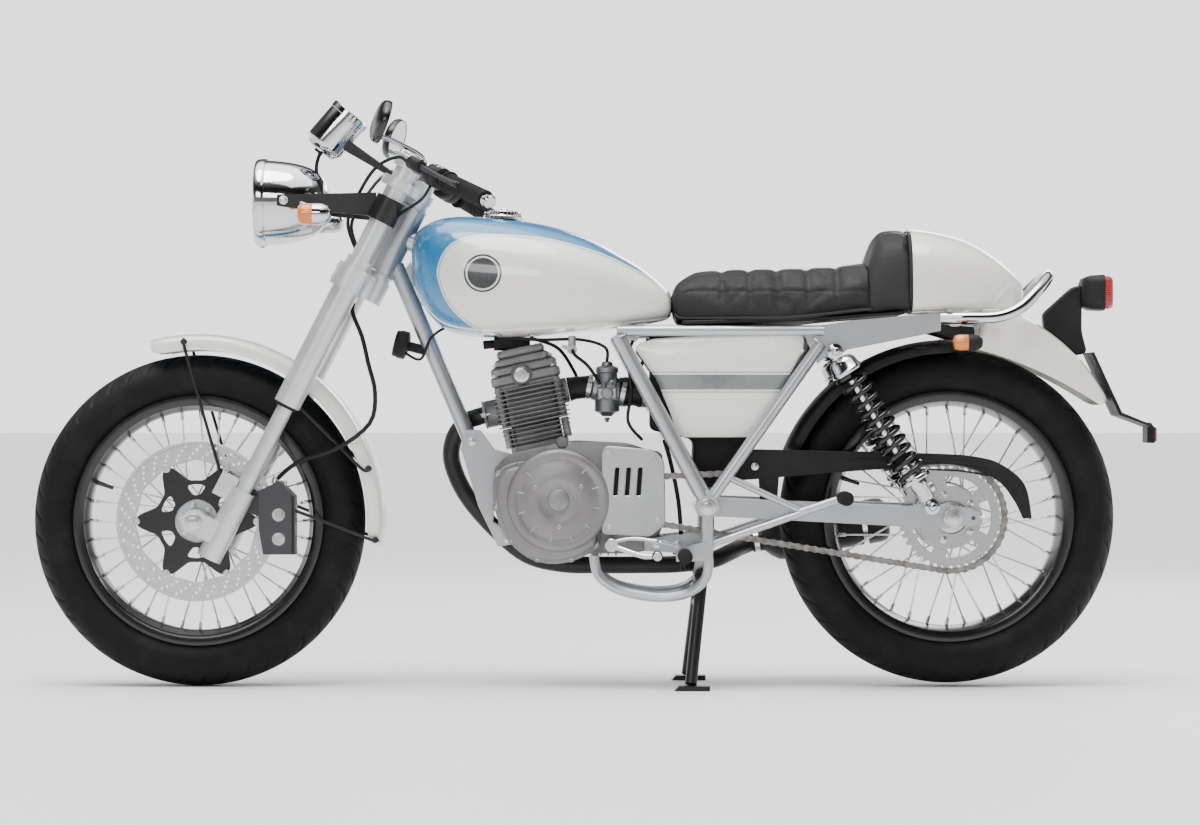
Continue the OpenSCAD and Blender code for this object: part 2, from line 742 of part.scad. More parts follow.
module grab_rail() {
    route = smooth_list([
        [rail_end_x - 0.3, rail_y + 4, rail_z + 23], [rear_axle.x - 20, rail_y + 12, rail_z + 23],
        [rear_axle.x - 82, rail_y + 12, rail_z + 25], [rear_axle.x - 124, rail_y + 4, rail_z + 42],
        [rear_axle.x - 158, 88, rail_z + 74], [rear_axle.x - 178, 60, rail_z + 96],
        [rear_axle.x - 185, 24, rail_z + 104]
    ], 4);
    loop = concat(route, [for (i = [len(route) - 1:-1:0]) flip(route[i])]);
    color(chrome) bent_tube(loop, 11, [1, 0, 1]);
}

module tail_light() {
    x = rear_axle.x;
    color(black) {
        plate([[x - 231, 733], [x - 176, 683], [x - 179, 656], [x - 218, 626], [x - 238, 606], [x - 258, 612],
            [x - 248, 650], [x - 248, 736]], -14, 28);
        translate([x - 250, -45, 690]) cube([4, 90, 64]);
        translate([x - 304, -48, 688]) cube([54, 96, 68]);
    }
}

module plate_bracket() {
    x = rear_axle.x;
    color(black) {
        plate([[x - 264, 612], [x - 258.5, 611.8], [x - 311, 497], [x - 368, 476], [x - 370, 480], [x - 316, 502]],
            -60, 120);
        plate([[x - 372, 444], [x - 366, 444], [x - 366, 482], [x - 372, 482]], -34, 68);
        translate([x - 384.4, -28, 444]) cube([13, 56, 34]);
    }
}

module rear_indicators() {
    x = rear_axle.x;
    p = [x - 22, rail_y, rail_z - 12];
    in_y = 73.3;
    color(black) both_sides() {
        plate([[x + 38, rail_z + 14], [x - 44, rail_z + 8], [x - 44, rail_z - 24], [x + 38, rail_z]], in_y, 5);
        rod([p.x, in_y + 2, p.z], [p.x, rail_y + 36, p.z - 6], 6);
        rod([x + 2, rail_y + 42, p.z - 8], [x - 52, rail_y + 42, p.z - 12], 15);
        translate([x + 24, in_y, rail_z + 2]) cube([12, rail_y - 2.2 - in_y, 10]);
    }
}

module chain_guard() {
    x = rear_axle.x;
    top = [[-258, 436], [x + 44, 428], [x - 50, 421], [x - 96, 405], [x - 134, 370], [x - 146, 311]];
    low = [[x - 130, 309], [x - 112, 345], [x - 78, 382], [x, 408], [x + 120, 400], [-254, 378]];
    inset = [for (i = [len(top) - 1:-1:0]) top[i] + (i > 3 ? [3, 0] : [0, -3])];
    color(black) {
        plate(concat(top, low), chain_y + 8.2, 2.8);
        plate(concat(top, inset), chain_y - 10, 20);
        plate([[-300, 326], [-330, 326], [-334, 390], [-296, 390]], chain_y + 8, 1.9);
    }
}

module chain() {
    pad = 1.5;
    color(black) difference() {
        chain_loop(drive_r + pad + 11, sprocket_r + pad + 11, chain_w);
        chain_loop(drive_r + pad, sprocket_r + pad, chain_w + 2);
    }
}

module chain_loop(front, rear, w) {
    translate([0, chain_y + w / 2, 0]) rotate([90, 0, 0]) linear_extrude(w) hull() {
        translate([drive.x, drive.z]) circle(r = front, $fn = 60);
        translate([rear_axle.x, rear_axle.z]) circle(r = rear, $fn = 120);
    }
}

// ---- controls and fittings on the frame ----
module footrests() {
    color(black) both_sides() {
        rod([-161, vee_y + 14.1, 245], [-161, vee_y + 26, 245], 9);
        rod([-161, vee_y + 24, 245], [-161, vee_y + 98, 245], 13);
        rod([-449, vee_y - 2, 348], [-449, vee_y + 76, 348], 13);
    }
}

module foot_controls() {
    color(chrome) {
        boss([-30, 0, 262], 9, case_w / 2 + 0.1, 132);
        rod([-30, 127, 262], [-112, 150, 244], 5);
        boss([-112, 0, 244], 9, 142, 182);
        boss([76, 0, 300], 9, -132, -case_w / 2 - 40.1);
        rod([76, -127, 300], [-40, -160, 262], 5);
        boss([-40, 0, 262], 9, -196, -152);
    }
}

module horn() {
    color(black) {
        difference() {
            union() {
                rod([344, 0, 624], [368, 0, 630], 26);
                rod([300, 0, 614], [346, 0, 624], 9);
            }
            rod(down_top, down_low, downtube_d / 2);
        }
    }
}

// ---- steering ----
module fork_clamps() {
    color(silver) steer() {
        difference() {
            union() {
                translate([0, 0, top_clamp_s - 9]) clamp_plate(18, 32);
                translate([0, 0, low_clamp_s - 22]) clamp_plate(44, 33);
            }
            for (y = [-leg_y, leg_y]) {
                translate([fork_offset, y, top_clamp_s - 20]) cylinder(d = fork_upper_d, h = 40);
                translate([fork_offset, y, low_clamp_s - 60]) cylinder(d = fork_outer_d, h = 120);
            }
        }
        translate([0, 0, low_clamp_s - 22]) cylinder(r = stem_r, h = top_clamp_s - low_clamp_s + 46);
        translate([0, 0, low_clamp_s + 22]) cylinder(r = 24, h = -head_len / 2 - low_clamp_s - 22 - 0.5);
        translate([0, 0, head_len / 2 + 0.5]) cylinder(r = 24, h = top_clamp_s - 9 - head_len / 2 - 0.5);
        translate([0, 0, top_clamp_s + 9]) cylinder(r = 20, h = 16);
    }
}

module clamp_plate(h, r) {
    cylinder(r = 27, h = h);
    for (y = [-leg_y, leg_y])
        translate([fork_offset, y, 0]) cylinder(r = r, h = h);
    linear_extrude(h) polygon([[-14, 0], [fork_offset - 20, leg_y], [fork_offset + 22, leg_y], [24, 0],
        [fork_offset + 22, -leg_y], [fork_offset - 20, -leg_y]]);
}

module fork_legs() {
    color(silver) steer() {
        for (y = [-leg_y, leg_y]) difference() {
            union() {
                translate([fork_offset, y, low_clamp_s + 40]) cylinder(d = fork_upper_d, h = leg_top_s - low_clamp_s - 40);
                translate([fork_offset, y, outer_low_s]) cylinder(d = fork_outer_d, h = low_clamp_s + 40 - outer_low_s);
                translate([fork_offset, y, foot_top_s]) cylinder(d = fork_inner_d, h = outer_low_s - foot_top_s);
                translate([fork_offset, y, leg_bottom_s]) cylinder(d = 46, h = foot_top_s - leg_bottom_s);
                translate([axle_u, y - 23, axle_s]) rotate([-90, 0, 0]) cylinder(r = 22, h = 44);
                translate([fork_offset, y - 23, axle_s - 20]) cube([axle_lead, 44, 40]);
                translate([fork_offset + 14, y - 10, foot_top_s - 28]) cube([34, 20, 44]);
            }
        }
        translate([axle_u, -leg_y, axle_s]) rotate([-90, 0, 0]) cylinder(d = axle_d, h = 2 * leg_y);
    }
}

// Line of the left handlebar, from its clamp to its tip
function bar_start() = steer_point(fork_offset, leg_y, leg_top_s - 16);
function bar_tip() = [bar_start().x - 146, bar_half, bar_start().z - 80];
function on_bar(t) = mix(bar_start(), bar_tip(), t);

module handlebars() {
    color(black) {
        difference() {
            union() {
                both_sides() {
                    rod(bar_start(), on_bar(0.52), 11);
                    rod(on_bar(0.52), on_bar(1), 16.5);
                }
                steer() for (y = [-leg_y, leg_y])
                    translate([fork_offset, y, leg_top_s - 28]) cylinder(r = fork_upper_d / 2 + 8, h = 24);
            }
            steer() for (y = [-leg_y, leg_y])
                translate([fork_offset, y, leg_top_s - 60]) cylinder(d = fork_upper_d, h = 120);
        }
        both_sides() rod(on_bar(1), on_bar(1) + 20 * unit(bar_tip() - bar_start()), 12);
    }
}

module hand_controls() {
    ahead = [38, 0, 22];
    color(black) both_sides() difference() {
        union() {
            rod(on_bar(0.3), on_bar(0.5), 21);
            rod(on_bar(0.38), on_bar(0.34) + ahead, 9);
            rod(on_bar(0.3) + ahead, on_bar(0.44) + ahead, 12);
            rod(on_bar(0.42) + ahead, on_bar(0.92) + ahead + [4, 0, 0], 6);
        }
        rod(on_bar(-0.1), on_bar(0.52), 11.2);
    }
}

module mirrors() {
    head = [384, 205, 1022];
    foot = on_bar(0.2) + [0, 0, 8];
    route = smooth_list([foot, foot + [6, 4, 18], mix(foot, head, 0.5) + [14, 0, 4], head + [6, -4, -26]], 4);
    color(chrome) both_sides() {
        difference() {
            bent_tube(route, 5, [1, 0, 0]);
            rod(bar_start(), on_bar(0.52), 11);
        }
        translate(head) rotate([0, -18, 12]) {
            rotate([0, 90, 0]) translate([0, 0, -10]) linear_extrude(22) scale(1) mirror_outline();
        }
    }
}

module mirror_outline() {
    polygon([for (a = [0:15:345]) [41 * cos(a), 52 * sin(a)]]);
}

module headlamp() {
    r = lamp_d / 2;
    color(chrome) translate([lamp_x(), 0, 888]) rotate([0, 90, 0]) rotate_extrude($fn = 72) polygon([
        [0, -128], [24, -126], [46, -116], [62, -96], [72, -66], [77, -30], [78, -12], [r, -10], [r, 4],
        [r - 5, 8], [r - 7, 8], [r - 7, 0], [0, 0]
    ]);
}

function lamp_x() = 616;

module headlamp_lens() {
    r = lamp_d / 2 - 7.3;
    color([0.9, 0.93, 0.95]) translate([lamp_x() + 0.3, 0, 888]) rotate([0, 90, 0]) rotate_extrude($fn = 72)
        polygon([[0, 0], [r, 0], [r, 4], [r * 0.8, 9], [r * 0.5, 13], [r * 0.2, 15], [0, 15.5]]);
}

module headlamp_bracket() {
    ear = [lamp_x() - 50, 0, 888];
    low_s = 40;
    near = steer_point(fork_offset + fork_upper_d / 2 + 3, leg_y, low_s);
    color(black) difference() {
        union() {
            both_sides() {
                plate([[ear.x - 12, ear.z - 14], [ear.x + 12, ear.z - 10], [ear.x + 12, ear.z + 10],
                    [near.x - 2, near.z + 22], [near.x - 2, near.z - 22]], 82, 5);
                boss(ear, 10, 75.8, 82.5);
            }
            steer() for (y = [-leg_y, leg_y])
                translate([fork_offset, y, low_s - 24]) cylinder(r = fork_upper_d / 2 + 7, h = 46);
        }
        steer() for (y = [-leg_y, leg_y])
            translate([fork_offset, y, low_s - 60]) cylinder(d = fork_upper_d + 0.4, h = 120);
    }
}

module speedometer() {
    color(chrome) {
        translate([478, 0, 1018]) rotate([0, -41, 0]) {
            translate([0, 0, -46]) cylinder(d = meter_d - 8, h = 14);
            translate([0, 0, -34]) cylinder(d = meter_d, h = 80);
        }
        steer() plate([[21, top_clamp_s + 9.2], [66, top_clamp_s + 9.2], [164, top_clamp_s + 14],
            [158, top_clamp_s + 34], [60, top_clamp_s + 19], [21, top_clamp_s + 19]], -18, 36);
    }
}

module front_indicators() {
    p = [518, 148, 859];
    ear = [lamp_x() - 84, 87.1, 880];
    color(amber) both_sides() {
        rod(p + [18, 0, -2], p + [-44, 0, 4], 20);
        boss(ear, 6, ear.y, ear.y + 12);
        rod(ear + [0, 10, 0], p + [-14, -10, 4], 6);
    }
}

module front_mudguard() {
    guard_half = 62;
    lug = steer_point(fork_offset + 40, leg_y - 13.2, foot_top_s - 4);
    seat = steer_point(fork_offset, leg_in_upper - 3.2, outer_low_s + 12);
    skirt_r = front_r + 16;
    a = [front_axle.x + skirt_r * cos(84), guard_half, front_axle.z + skirt_r * sin(84)];
    b = [front_axle.x + skirt_r * cos(160), guard_half, front_axle.z + skirt_r * sin(160)];
    color(cream) {
        guard_arc(front_axle, front_r + 39, guard_half, 30, 74.5, 188);
        both_sides() {
            bent_tube([a + [0, 0, -4], [lug.x + 12, leg_y - 26, lug.z + 70], lug], 3, [0, 1, 0]);
            bent_tube([b, mix(b, seat, 0.5), seat], 3, [0, 1, 0]);
        }
    }
}

module front_caliper() {
    c = front_axle + [-150, 0, 6];
    gap = 2;
    color(black) difference() {
        union() {
            plate([[c.x - 32, c.z - 66], [c.x + 26, c.z - 66], [c.x + 34, c.z - 20], [c.x + 34, c.z + 50],
                [c.x - 4, c.z + 68], [c.x - 32, c.z + 40]], disc_y - 18, 50);
            plate([[c.x + 20, c.z + 40], [c.x + 84, c.z + 70], [c.x + 96, c.z + 30], [c.x + 30, c.z]],
                disc_y + disc_t + gap + 2, 12);
        }
        plate([[c.x - 22, c.z - 100], [c.x + 200, c.z - 100], [c.x + 200, c.z + 120], [c.x - 22, c.z + 120]],
            disc_y - gap, disc_t + 2 * gap);
        steer() translate([fork_offset, leg_y, leg_bottom_s]) cylinder(d = 46.6, h = foot_top_s - leg_bottom_s + 30);
        steer() translate([fork_offset, leg_y - 23.2, axle_s - 20.2]) cube([axle_lead + 0.2, 44, 40.4]);
        steer() translate([fork_offset + 14, leg_y - 10.2, foot_top_s - 28.2]) cube([34.2, 20.4, 44.4]);
    }
}

module front_cables() {
    low = front_axle + [-150, 0, 74];
    route = smooth_list([
        steer_point(12, 60, low_clamp_s - 23.2), steer_point(10, 66, low_clamp_s - 50), [424, 78, 640],
        [412, 82, 590], [400, 82, 538], [410, 82, 482], [470, 80, 436], [540, 68, 412], [low.x + 2, 62, low.z + 4],
        [low.x + 8, 62, low.z - 6.2]
    ], 4);
    color(black) bent_tube(route, 4, [0, 1, 0], 8);
}

// ---- centre stand ----
module centre_stand() {
    foot_x = stand_pivot.x + 22;
    color(black) {
        difference() {
            union() {
                both_sides() {
                    rod([stand_pivot.x, ear_y + 18, stand_pivot.z], [foot_x, 132, 12], 11);
                    plate([[foot_x - 34, 0], [foot_x + 30, 0], [foot_x + 22, 9], [foot_x - 34, 9]], 116, 30);
                    boss(stand_pivot, 14, ear_y + 6.5, ear_y + 22);
                }
                rod([stand_pivot.x + 6, -ear_y - 32, 150], [stand_pivot.x + 6, ear_y + 32, 150], 9);
            }
        }
        boss(stand_pivot, 6, -ear_y - 22, ear_y + 22);
    }
}

main_frame();
rear_frame();
swingarm();
shock_absorbers();
crankcase();
engine_covers();
cylinder_barrel();
cylinder_head();
carburettor();
air_box();
exhaust_pipe();
silencer();
fuel_tank();
fuel_cap();
seat();
tail_cowl();
side_covers();
rear_mudguard();
inner_mudguard();
grab_rail();
tail_light();
plate_bracket();
rear_indicators();
chain_guard();
chain();
footrests();
foot_controls();
horn();
fork_clamps();
fork_legs();
handlebars();
hand_controls();
mirrors();
headlamp();
headlamp_lens();
headlamp_bracket();
speedometer();
front_indicators();
front_mudguard();
front_caliper();
front_cables();
front_tyre();
front_rim();
front_spokes();
front_hub();
front_disc();
rear_tyre();
rear_rim();
rear_spokes();
rear_hub();
rear_sprocket();
centre_stand();
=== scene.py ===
import math
import bmesh
import bpy
from mathutils import Matrix, Vector


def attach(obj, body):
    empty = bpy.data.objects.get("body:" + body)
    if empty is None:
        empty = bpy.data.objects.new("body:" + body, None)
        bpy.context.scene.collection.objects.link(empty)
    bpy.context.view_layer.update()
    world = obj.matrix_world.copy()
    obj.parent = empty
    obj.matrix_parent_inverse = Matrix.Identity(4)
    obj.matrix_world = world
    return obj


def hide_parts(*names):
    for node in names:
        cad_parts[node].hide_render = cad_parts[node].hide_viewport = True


# Lengths are in millimetres until a mesh is made: x ahead, y to the left, z up
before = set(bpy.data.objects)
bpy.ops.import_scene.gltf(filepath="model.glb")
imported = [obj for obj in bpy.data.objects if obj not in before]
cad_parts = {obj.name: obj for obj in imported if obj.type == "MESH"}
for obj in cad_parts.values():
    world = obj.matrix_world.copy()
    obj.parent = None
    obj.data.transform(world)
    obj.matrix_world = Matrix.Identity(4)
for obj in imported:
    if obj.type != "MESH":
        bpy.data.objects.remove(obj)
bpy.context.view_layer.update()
mm = 0.001
tau = math.tau


# Plain geometry
def vec(*p):
    return Vector(p[0] if len(p) == 1 else p)


def mix(a, b, t):
    return a + (b - a) * t


def blendPoint(a, b, c, d, t):
    return 0.5 * (2 * b + (c - a) * t + (2 * a - 5 * b + 4 * c - d) * t * t
        + (3 * b - a - 3 * c + d) * t ** 3)


def smoothList(points, steps):
    out, last = [], len(points) - 1
    for i in range(last):
        near = [points[max(i - 1, 0)], points[i], points[i + 1], points[min(i + 2, last)]]
        for j in range(steps):
            out.append([blendPoint(*[p[k] for p in near], j / steps)
                for k in range(len(points[0]))])
    return out + [list(points[last])]


def smoothPath(points, steps=6):
    return [Vector(p) for p in smoothList([list(p) for p in points], steps)]


def closedSmooth(points, steps):
    n = len(points)
    out = []
    for i in range(n):
        near = [points[(i + k) % n] for k in (-1, 0, 1, 2)]
        for j in range(steps):
            out.append([blendPoint(*[p[k] for p in near], j / steps)
                for k in range(len(points[0]))])
    return out


def roundedCorners(outline, radius, steps=5):
    out, n = [], len(outline)
    for i in range(n):
        p = Vector(outline[i])
        a = Vector(outline[i - 1]) - p
        b = Vector(outline[(i + 1) % n]) - p
        cut = min(radius, a.length * 0.45, b.length * 0.45)
        start, end = p + a.normalized() * cut, p + b.normalized() * cut
        for k in range(steps + 1):
            t = k / steps
            out.append(tuple(start * (1 - t) ** 2 + p * 2 * t * (1 - t) + end * t * t))
    return out


def frameAlong(axis):
    axis = axis.normalized()
    side = axis.cross(Vector((0, 0, 1)))
    if side.length < 0.05:
        side = axis.cross(Vector((1, 0, 0)))
    side.normalize()
    return axis, side, axis.cross(side)


def circle(r, n, cx=0, cy=0, turn=0.0):
    return [(cx + r * math.cos(turn + tau * i / n), cy + r * math.sin(turn + tau * i / n))
        for i in range(n)]


class Shape:                                    # points and faces of one piece
    def __init__(self):
        self.points = []
        self.faces = []

    def add(self, points, faces):
        base = len(self.points)
        self.points += [Vector(p) for p in points]
        self.faces += [tuple(base + i for i in f) for f in faces]
        return self

    def skin(self, rings, caps=True, closed=False):
        n, count = len(rings[0]), len(rings)
        faces = []
        for i in range(count if closed else count - 1):
            k = (i + 1) % count
            faces += [(i * n + j, i * n + (j + 1) % n, k * n + (j + 1) % n, k * n + j)
                for j in range(n)]
        if caps and not closed:
            faces += [tuple(range(n - 1, -1, -1)), tuple((count - 1) * n + j for j in range(n))]
        return self.add([p for ring in rings for p in ring], faces)

    def tube(self, path, radius, sides=16, closed=False, caps=True):
        path = [Vector(p) for p in path]
        last = len(path) - 1
        sizes = radius if isinstance(radius, list) else [radius] * len(path)
        rings, side = [], None
        for i, p in enumerate(path):
            a = path[(i - 1) % len(path)] if closed else path[max(i - 1, 0)]
            b = path[(i + 1) % len(path)] if closed else path[min(i + 1, last)]
            along = (b - a).normalized()
            side = frameAlong(along)[1] if side is None else (side - along
                * side.dot(along)).normalized()
            over = along.cross(side)
            rings.append([p + sizes[i] * (math.cos(tau * j / sides) * side
                + math.sin(tau * j / sides) * over) for j in range(sides)])
        return self.skin(rings, caps, closed)

    def lathe(self, profile, at, axis, sides=64, start=0.0):
        axis, side, over = frameAlong(Vector(axis))
        at = Vector(at)
        rings = []
        for r, h in profile:
            rings.append([at + axis * h + max(r, 0)
                * (math.cos(start + tau * j / sides) * side + math.sin(start + tau * j / sides)
                * over) for j in range(sides)])
        return self.skin(rings, caps=True)

    def ring(self, profile, at, axis, sides=64):     # closed profile, so the piece is a hoop
        axis, side, over = frameAlong(Vector(axis))
        at = Vector(at)
        rings = []
        for j in range(sides):
            out = math.cos(tau * j / sides) * side + math.sin(tau * j / sides) * over
            rings.append([at + axis * h + r * out for r, h in profile])
        return self.skin(rings, caps=False, closed=True)

    def rod(self, a, b, r, sides=24, edge=0.8):
        a, b = Vector(a), Vector(b)
        length = (b - a).length
        edge = min(edge, r * 0.4, length * 0.3)
        profile = [(r - edge, 0), (r, edge), (r, length - edge), (r - edge, length)]
        return self.lathe(profile, a, b - a, sides)

    def boss(self, p, r, y0, y1, sides=32, edge=1.0):
        return self.rod((p[0], y0, p[-1]), (p[0], y1, p[-1]), r, sides, edge)

    def plate(self, outline, y, t, edge=0.8):
        outline = [Vector((p[0], p[1])) for p in outline]
        area = sum(a.x * b.y - b.x * a.y for a, b in zip(outline, outline[1:] + outline[:1]))
        if area < 0:
            outline.reverse()
        n = len(outline)
        inner = []
        for i, p in enumerate(outline):
            a = (p - outline[i - 1]).normalized()
            b = (outline[(i + 1) % n] - p).normalized()
            inward = Vector((-a.y - b.y, a.x + b.x))
            inward = inward.normalized() if inward.length > 1e-6 else Vector((-a.y, a.x))
            lean = max(0.5, inward.dot(Vector((-a.y, a.x))))
            inner.append(p + inward * edge / lean)
        lift = min(edge, t * 0.4)
        layers = [(inner, y), (outline, y + lift), (outline, y + t - lift), (inner, y + t)]
        rings = [[(p.x, h, p.y) for p in ring] for ring, h in layers]
        return self.skin([list(reversed(ring)) for ring in rings])

    def box(self, low, high, edge=1.0):
        (x0, y0, z0), (x1, y1, z1) = low, high
        return self.plate([(x0, z0), (x1, z0), (x1, z1), (x0, z1)], y0, y1 - y0, edge)

    def bolt(self, at, axis, r=5.0, h=4.0):          # hexagon head on a washer
        at, axis = Vector(at), Vector(axis).normalized()
        self.lathe([(r * 1.35, 0), (r * 1.35, 1.0), (r * 1.2, 1.2)], at, axis, 20)
        self.lathe([(r * 1.08, 1), (r * 1.08, h), (r * 0.8, h + 0.7)], at, axis, 6)
        return self

    def capBolt(self, at, axis, r=4.0, h=4.0):       # socket head
        axis = Vector(axis).normalized()
        profile = [(r, 0), (r, h - 0.6), (r - 0.6, h), (r * 0.55, h), (r * 0.5, h - 2), (0, h - 2)]
        return self.lathe(profile, Vector(at), axis, 18)

    def bothSides(self):
        count = len(self.points)
        self.points += [Vector((p.x, -p.y, p.z)) for p in self.points]
        self.faces += [tuple(count + i for i in reversed(f)) for f in self.faces]
        return self

    def turned(self, matrix):
        self.points = [matrix @ p for p in self.points]
        return self

    def join(self, other):
        return self.add(other.points, other.faces)


def dress(piece, material, sharp=38):
    piece.data.materials.clear()
    piece.data.materials.append(material)
    piece.data.shade_smooth()
    piece.data.set_sharp_from_angle(angle=math.radians(sharp))


def makePiece(name, shape, finishName, body, replaces=(), sharp=38):
    mesh = bpy.data.meshes.new(name)
    mesh.from_pydata([p * mm for p in shape.points], [], shape.faces)
    work = bmesh.new()
    work.from_mesh(mesh)
    bmesh.ops.remove_doubles(work, verts=work.verts, dist=2e-6)
    bmesh.ops.dissolve_degenerate(work, edges=work.edges, dist=1e-7)
    bmesh.ops.recalc_face_normals(work, faces=work.faces)
    work.to_mesh(mesh)
    work.free()
    piece = bpy.data.objects.new(name, mesh)
    bpy.context.scene.collection.objects.link(piece)
    dress(piece, finish[finishName], sharp)
    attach(piece, body)
    if replaces:
        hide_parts(*replaces)
    return piece


# Plate whose later outlines are holes, given as (x, z) lists
def cutPlate(outlines, y, t, edge=0.5):
    curve = bpy.data.curves.new("outline", "CURVE")
    curve.dimensions = "2D"
    curve.fill_mode = "BOTH"
    curve.extrude = t / 2 - edge
    curve.bevel_depth = edge
    curve.bevel_resolution = 0
    for outline in outlines:
        line = curve.splines.new("POLY")
        line.points.add(len(outline) - 1)
        for point, p in zip(line.points, outline):
            point.co = (p[0], p[1], 0, 1)
        line.use_cyclic_u = True
    holder = bpy.data.objects.new("outline", curve)
    bpy.context.scene.collection.objects.link(holder)
    bpy.context.view_layer.update()
    graph = bpy.context.evaluated_depsgraph_get()
    mesh = bpy.data.meshes.new_from_object(holder.evaluated_get(graph))
    points = [(v.co.x, y + t / 2 - v.co.z, v.co.y) for v in mesh.vertices]
    shape = Shape().add(points, [tuple(f.vertices) for f in mesh.polygons])
    bpy.data.objects.remove(holder)
    bpy.data.curves.remove(curve)
    bpy.data.meshes.remove(mesh)
    return shape


# Ring of a lofted body: station is [x, half width, bottom, top], low is where it is widest
def bodyRing(station, low, upPower, lowPower, n):
    x, half, bottom, top = station
    middle = mix(bottom, top, low)
    ring = []
    for i in range(n):
        a = tau * (i + 0.5) / n
        c, s = math.cos(a), math.sin(a)
        power = 2 / (upPower if s > 0 else lowPower)
        rise = (top - middle if s > 0 else middle - bottom) * math.copysign(abs(s) ** power, s)
        ring.append((x, half * math.copysign(abs(c) ** power, c), middle + rise))
    return ring


def bodyLoft(stations, steps, low, upPower, lowPower, n=64):
    rings = [bodyRing(s, low, upPower, lowPower, n) for s in smoothList(stations, steps)]
    shape = Shape().skin(rings, caps=False)
    # Domed ends, so they catch the light softly
    for ring, k in ((rings[0], 0), (rings[-1], len(rings) - 1)):
        middle = sum((Vector(p) for p in ring), Vector()) / n
        out = -1 if k else 1
        inner = [[mix(Vector(p), middle, t) + Vector((out * bulge, 0, 0)) for p in ring]
            for t, bulge in ((0.25, 1.2), (0.6, 2.0), (0.999, 2.2))]
        shape.skin([ring] + inner, caps=False)
    return shape


# Shared places
rake = math.radians(27)
headX, headZ = 366, 818
axleU, forkU, legY = 88, 35, 95
frontR, rearR = 304, 307
wheelbase, standLift = 1373, 5                  # the stand holds the rear tyre off the floor
axleS = -(headZ - frontR + axleU * math.sin(rake)) / math.cos(rake)
frontAxle = vec(headX + axleU * math.cos(rake) - axleS * math.sin(rake), 0, frontR)
rearAxle = vec(frontAxle.x - wheelbase, 0, rearR + standLift)
pivot = vec(-203, 0, 332)
veeY, railY, railZ, shockY = 137, 105, 650, 128
chainY, discY, hubY = 86, 60, 34
topClampS, lowClampS, legTopS = 91, -100, 150
outerLowS, forkUpperR = axleS + 265, 20
drive = vec(-83, 0, 345)
seatTop, seatHalf = 761, 122


def steerPoint(u, y, s):
    return vec(headX + u * math.cos(rake) - s * math.sin(rake), y,
        headZ + u * math.sin(rake) + s * math.cos(rake))


steerAxis = vec(-math.sin(rake), 0, math.cos(rake))
steerAhead = vec(math.cos(rake), 0, math.sin(rake))
barStart = steerPoint(forkU, legY, 134)
barTip = vec(barStart.x - 146, 340, barStart.z - 80)
lean = math.radians(12)
boreFoot = vec(96, 0, 420)
boreTurn = Matrix.Translation(boreFoot) @ Matrix.Rotation(lean, 4, "Y")


def around(centre, r, y, a):                     # a point on a wheel, a up from straight ahead
    return centre + vec(r * math.cos(a), y, r * math.sin(a))


def onBar(t):
    return mix(barStart, barTip, t)


def borePoint(x, y, z):
    return boreTurn @ vec(x, y, z)


# Materials
class Value:                                    # one number, colour or vector inside a material
    def __init__(self, paint, socket):
        self.paint = paint
        self.socket = socket

    def maths(self, operation, first, second):
        return self.paint.node("ShaderNodeMath", {"operation": operation}, {0: first, 1: second})

    def __add__(self, other):
        return self.maths("ADD", self, other)

    def __radd__(self, other):
        return self.maths("ADD", other, self)

    def __sub__(self, other):
        return self.maths("SUBTRACT", self, other)

    def __rsub__(self, other):
        return self.maths("SUBTRACT", other, self)

    def __mul__(self, other):
        return self.maths("MULTIPLY", self, other)

    def __rmul__(self, other):
        return self.maths("MULTIPLY", other, self)

    def __pow__(self, other):
        return self.maths("POWER", self, other)

    def __abs__(self):
        return self.maths("ABSOLUTE", self, 0)


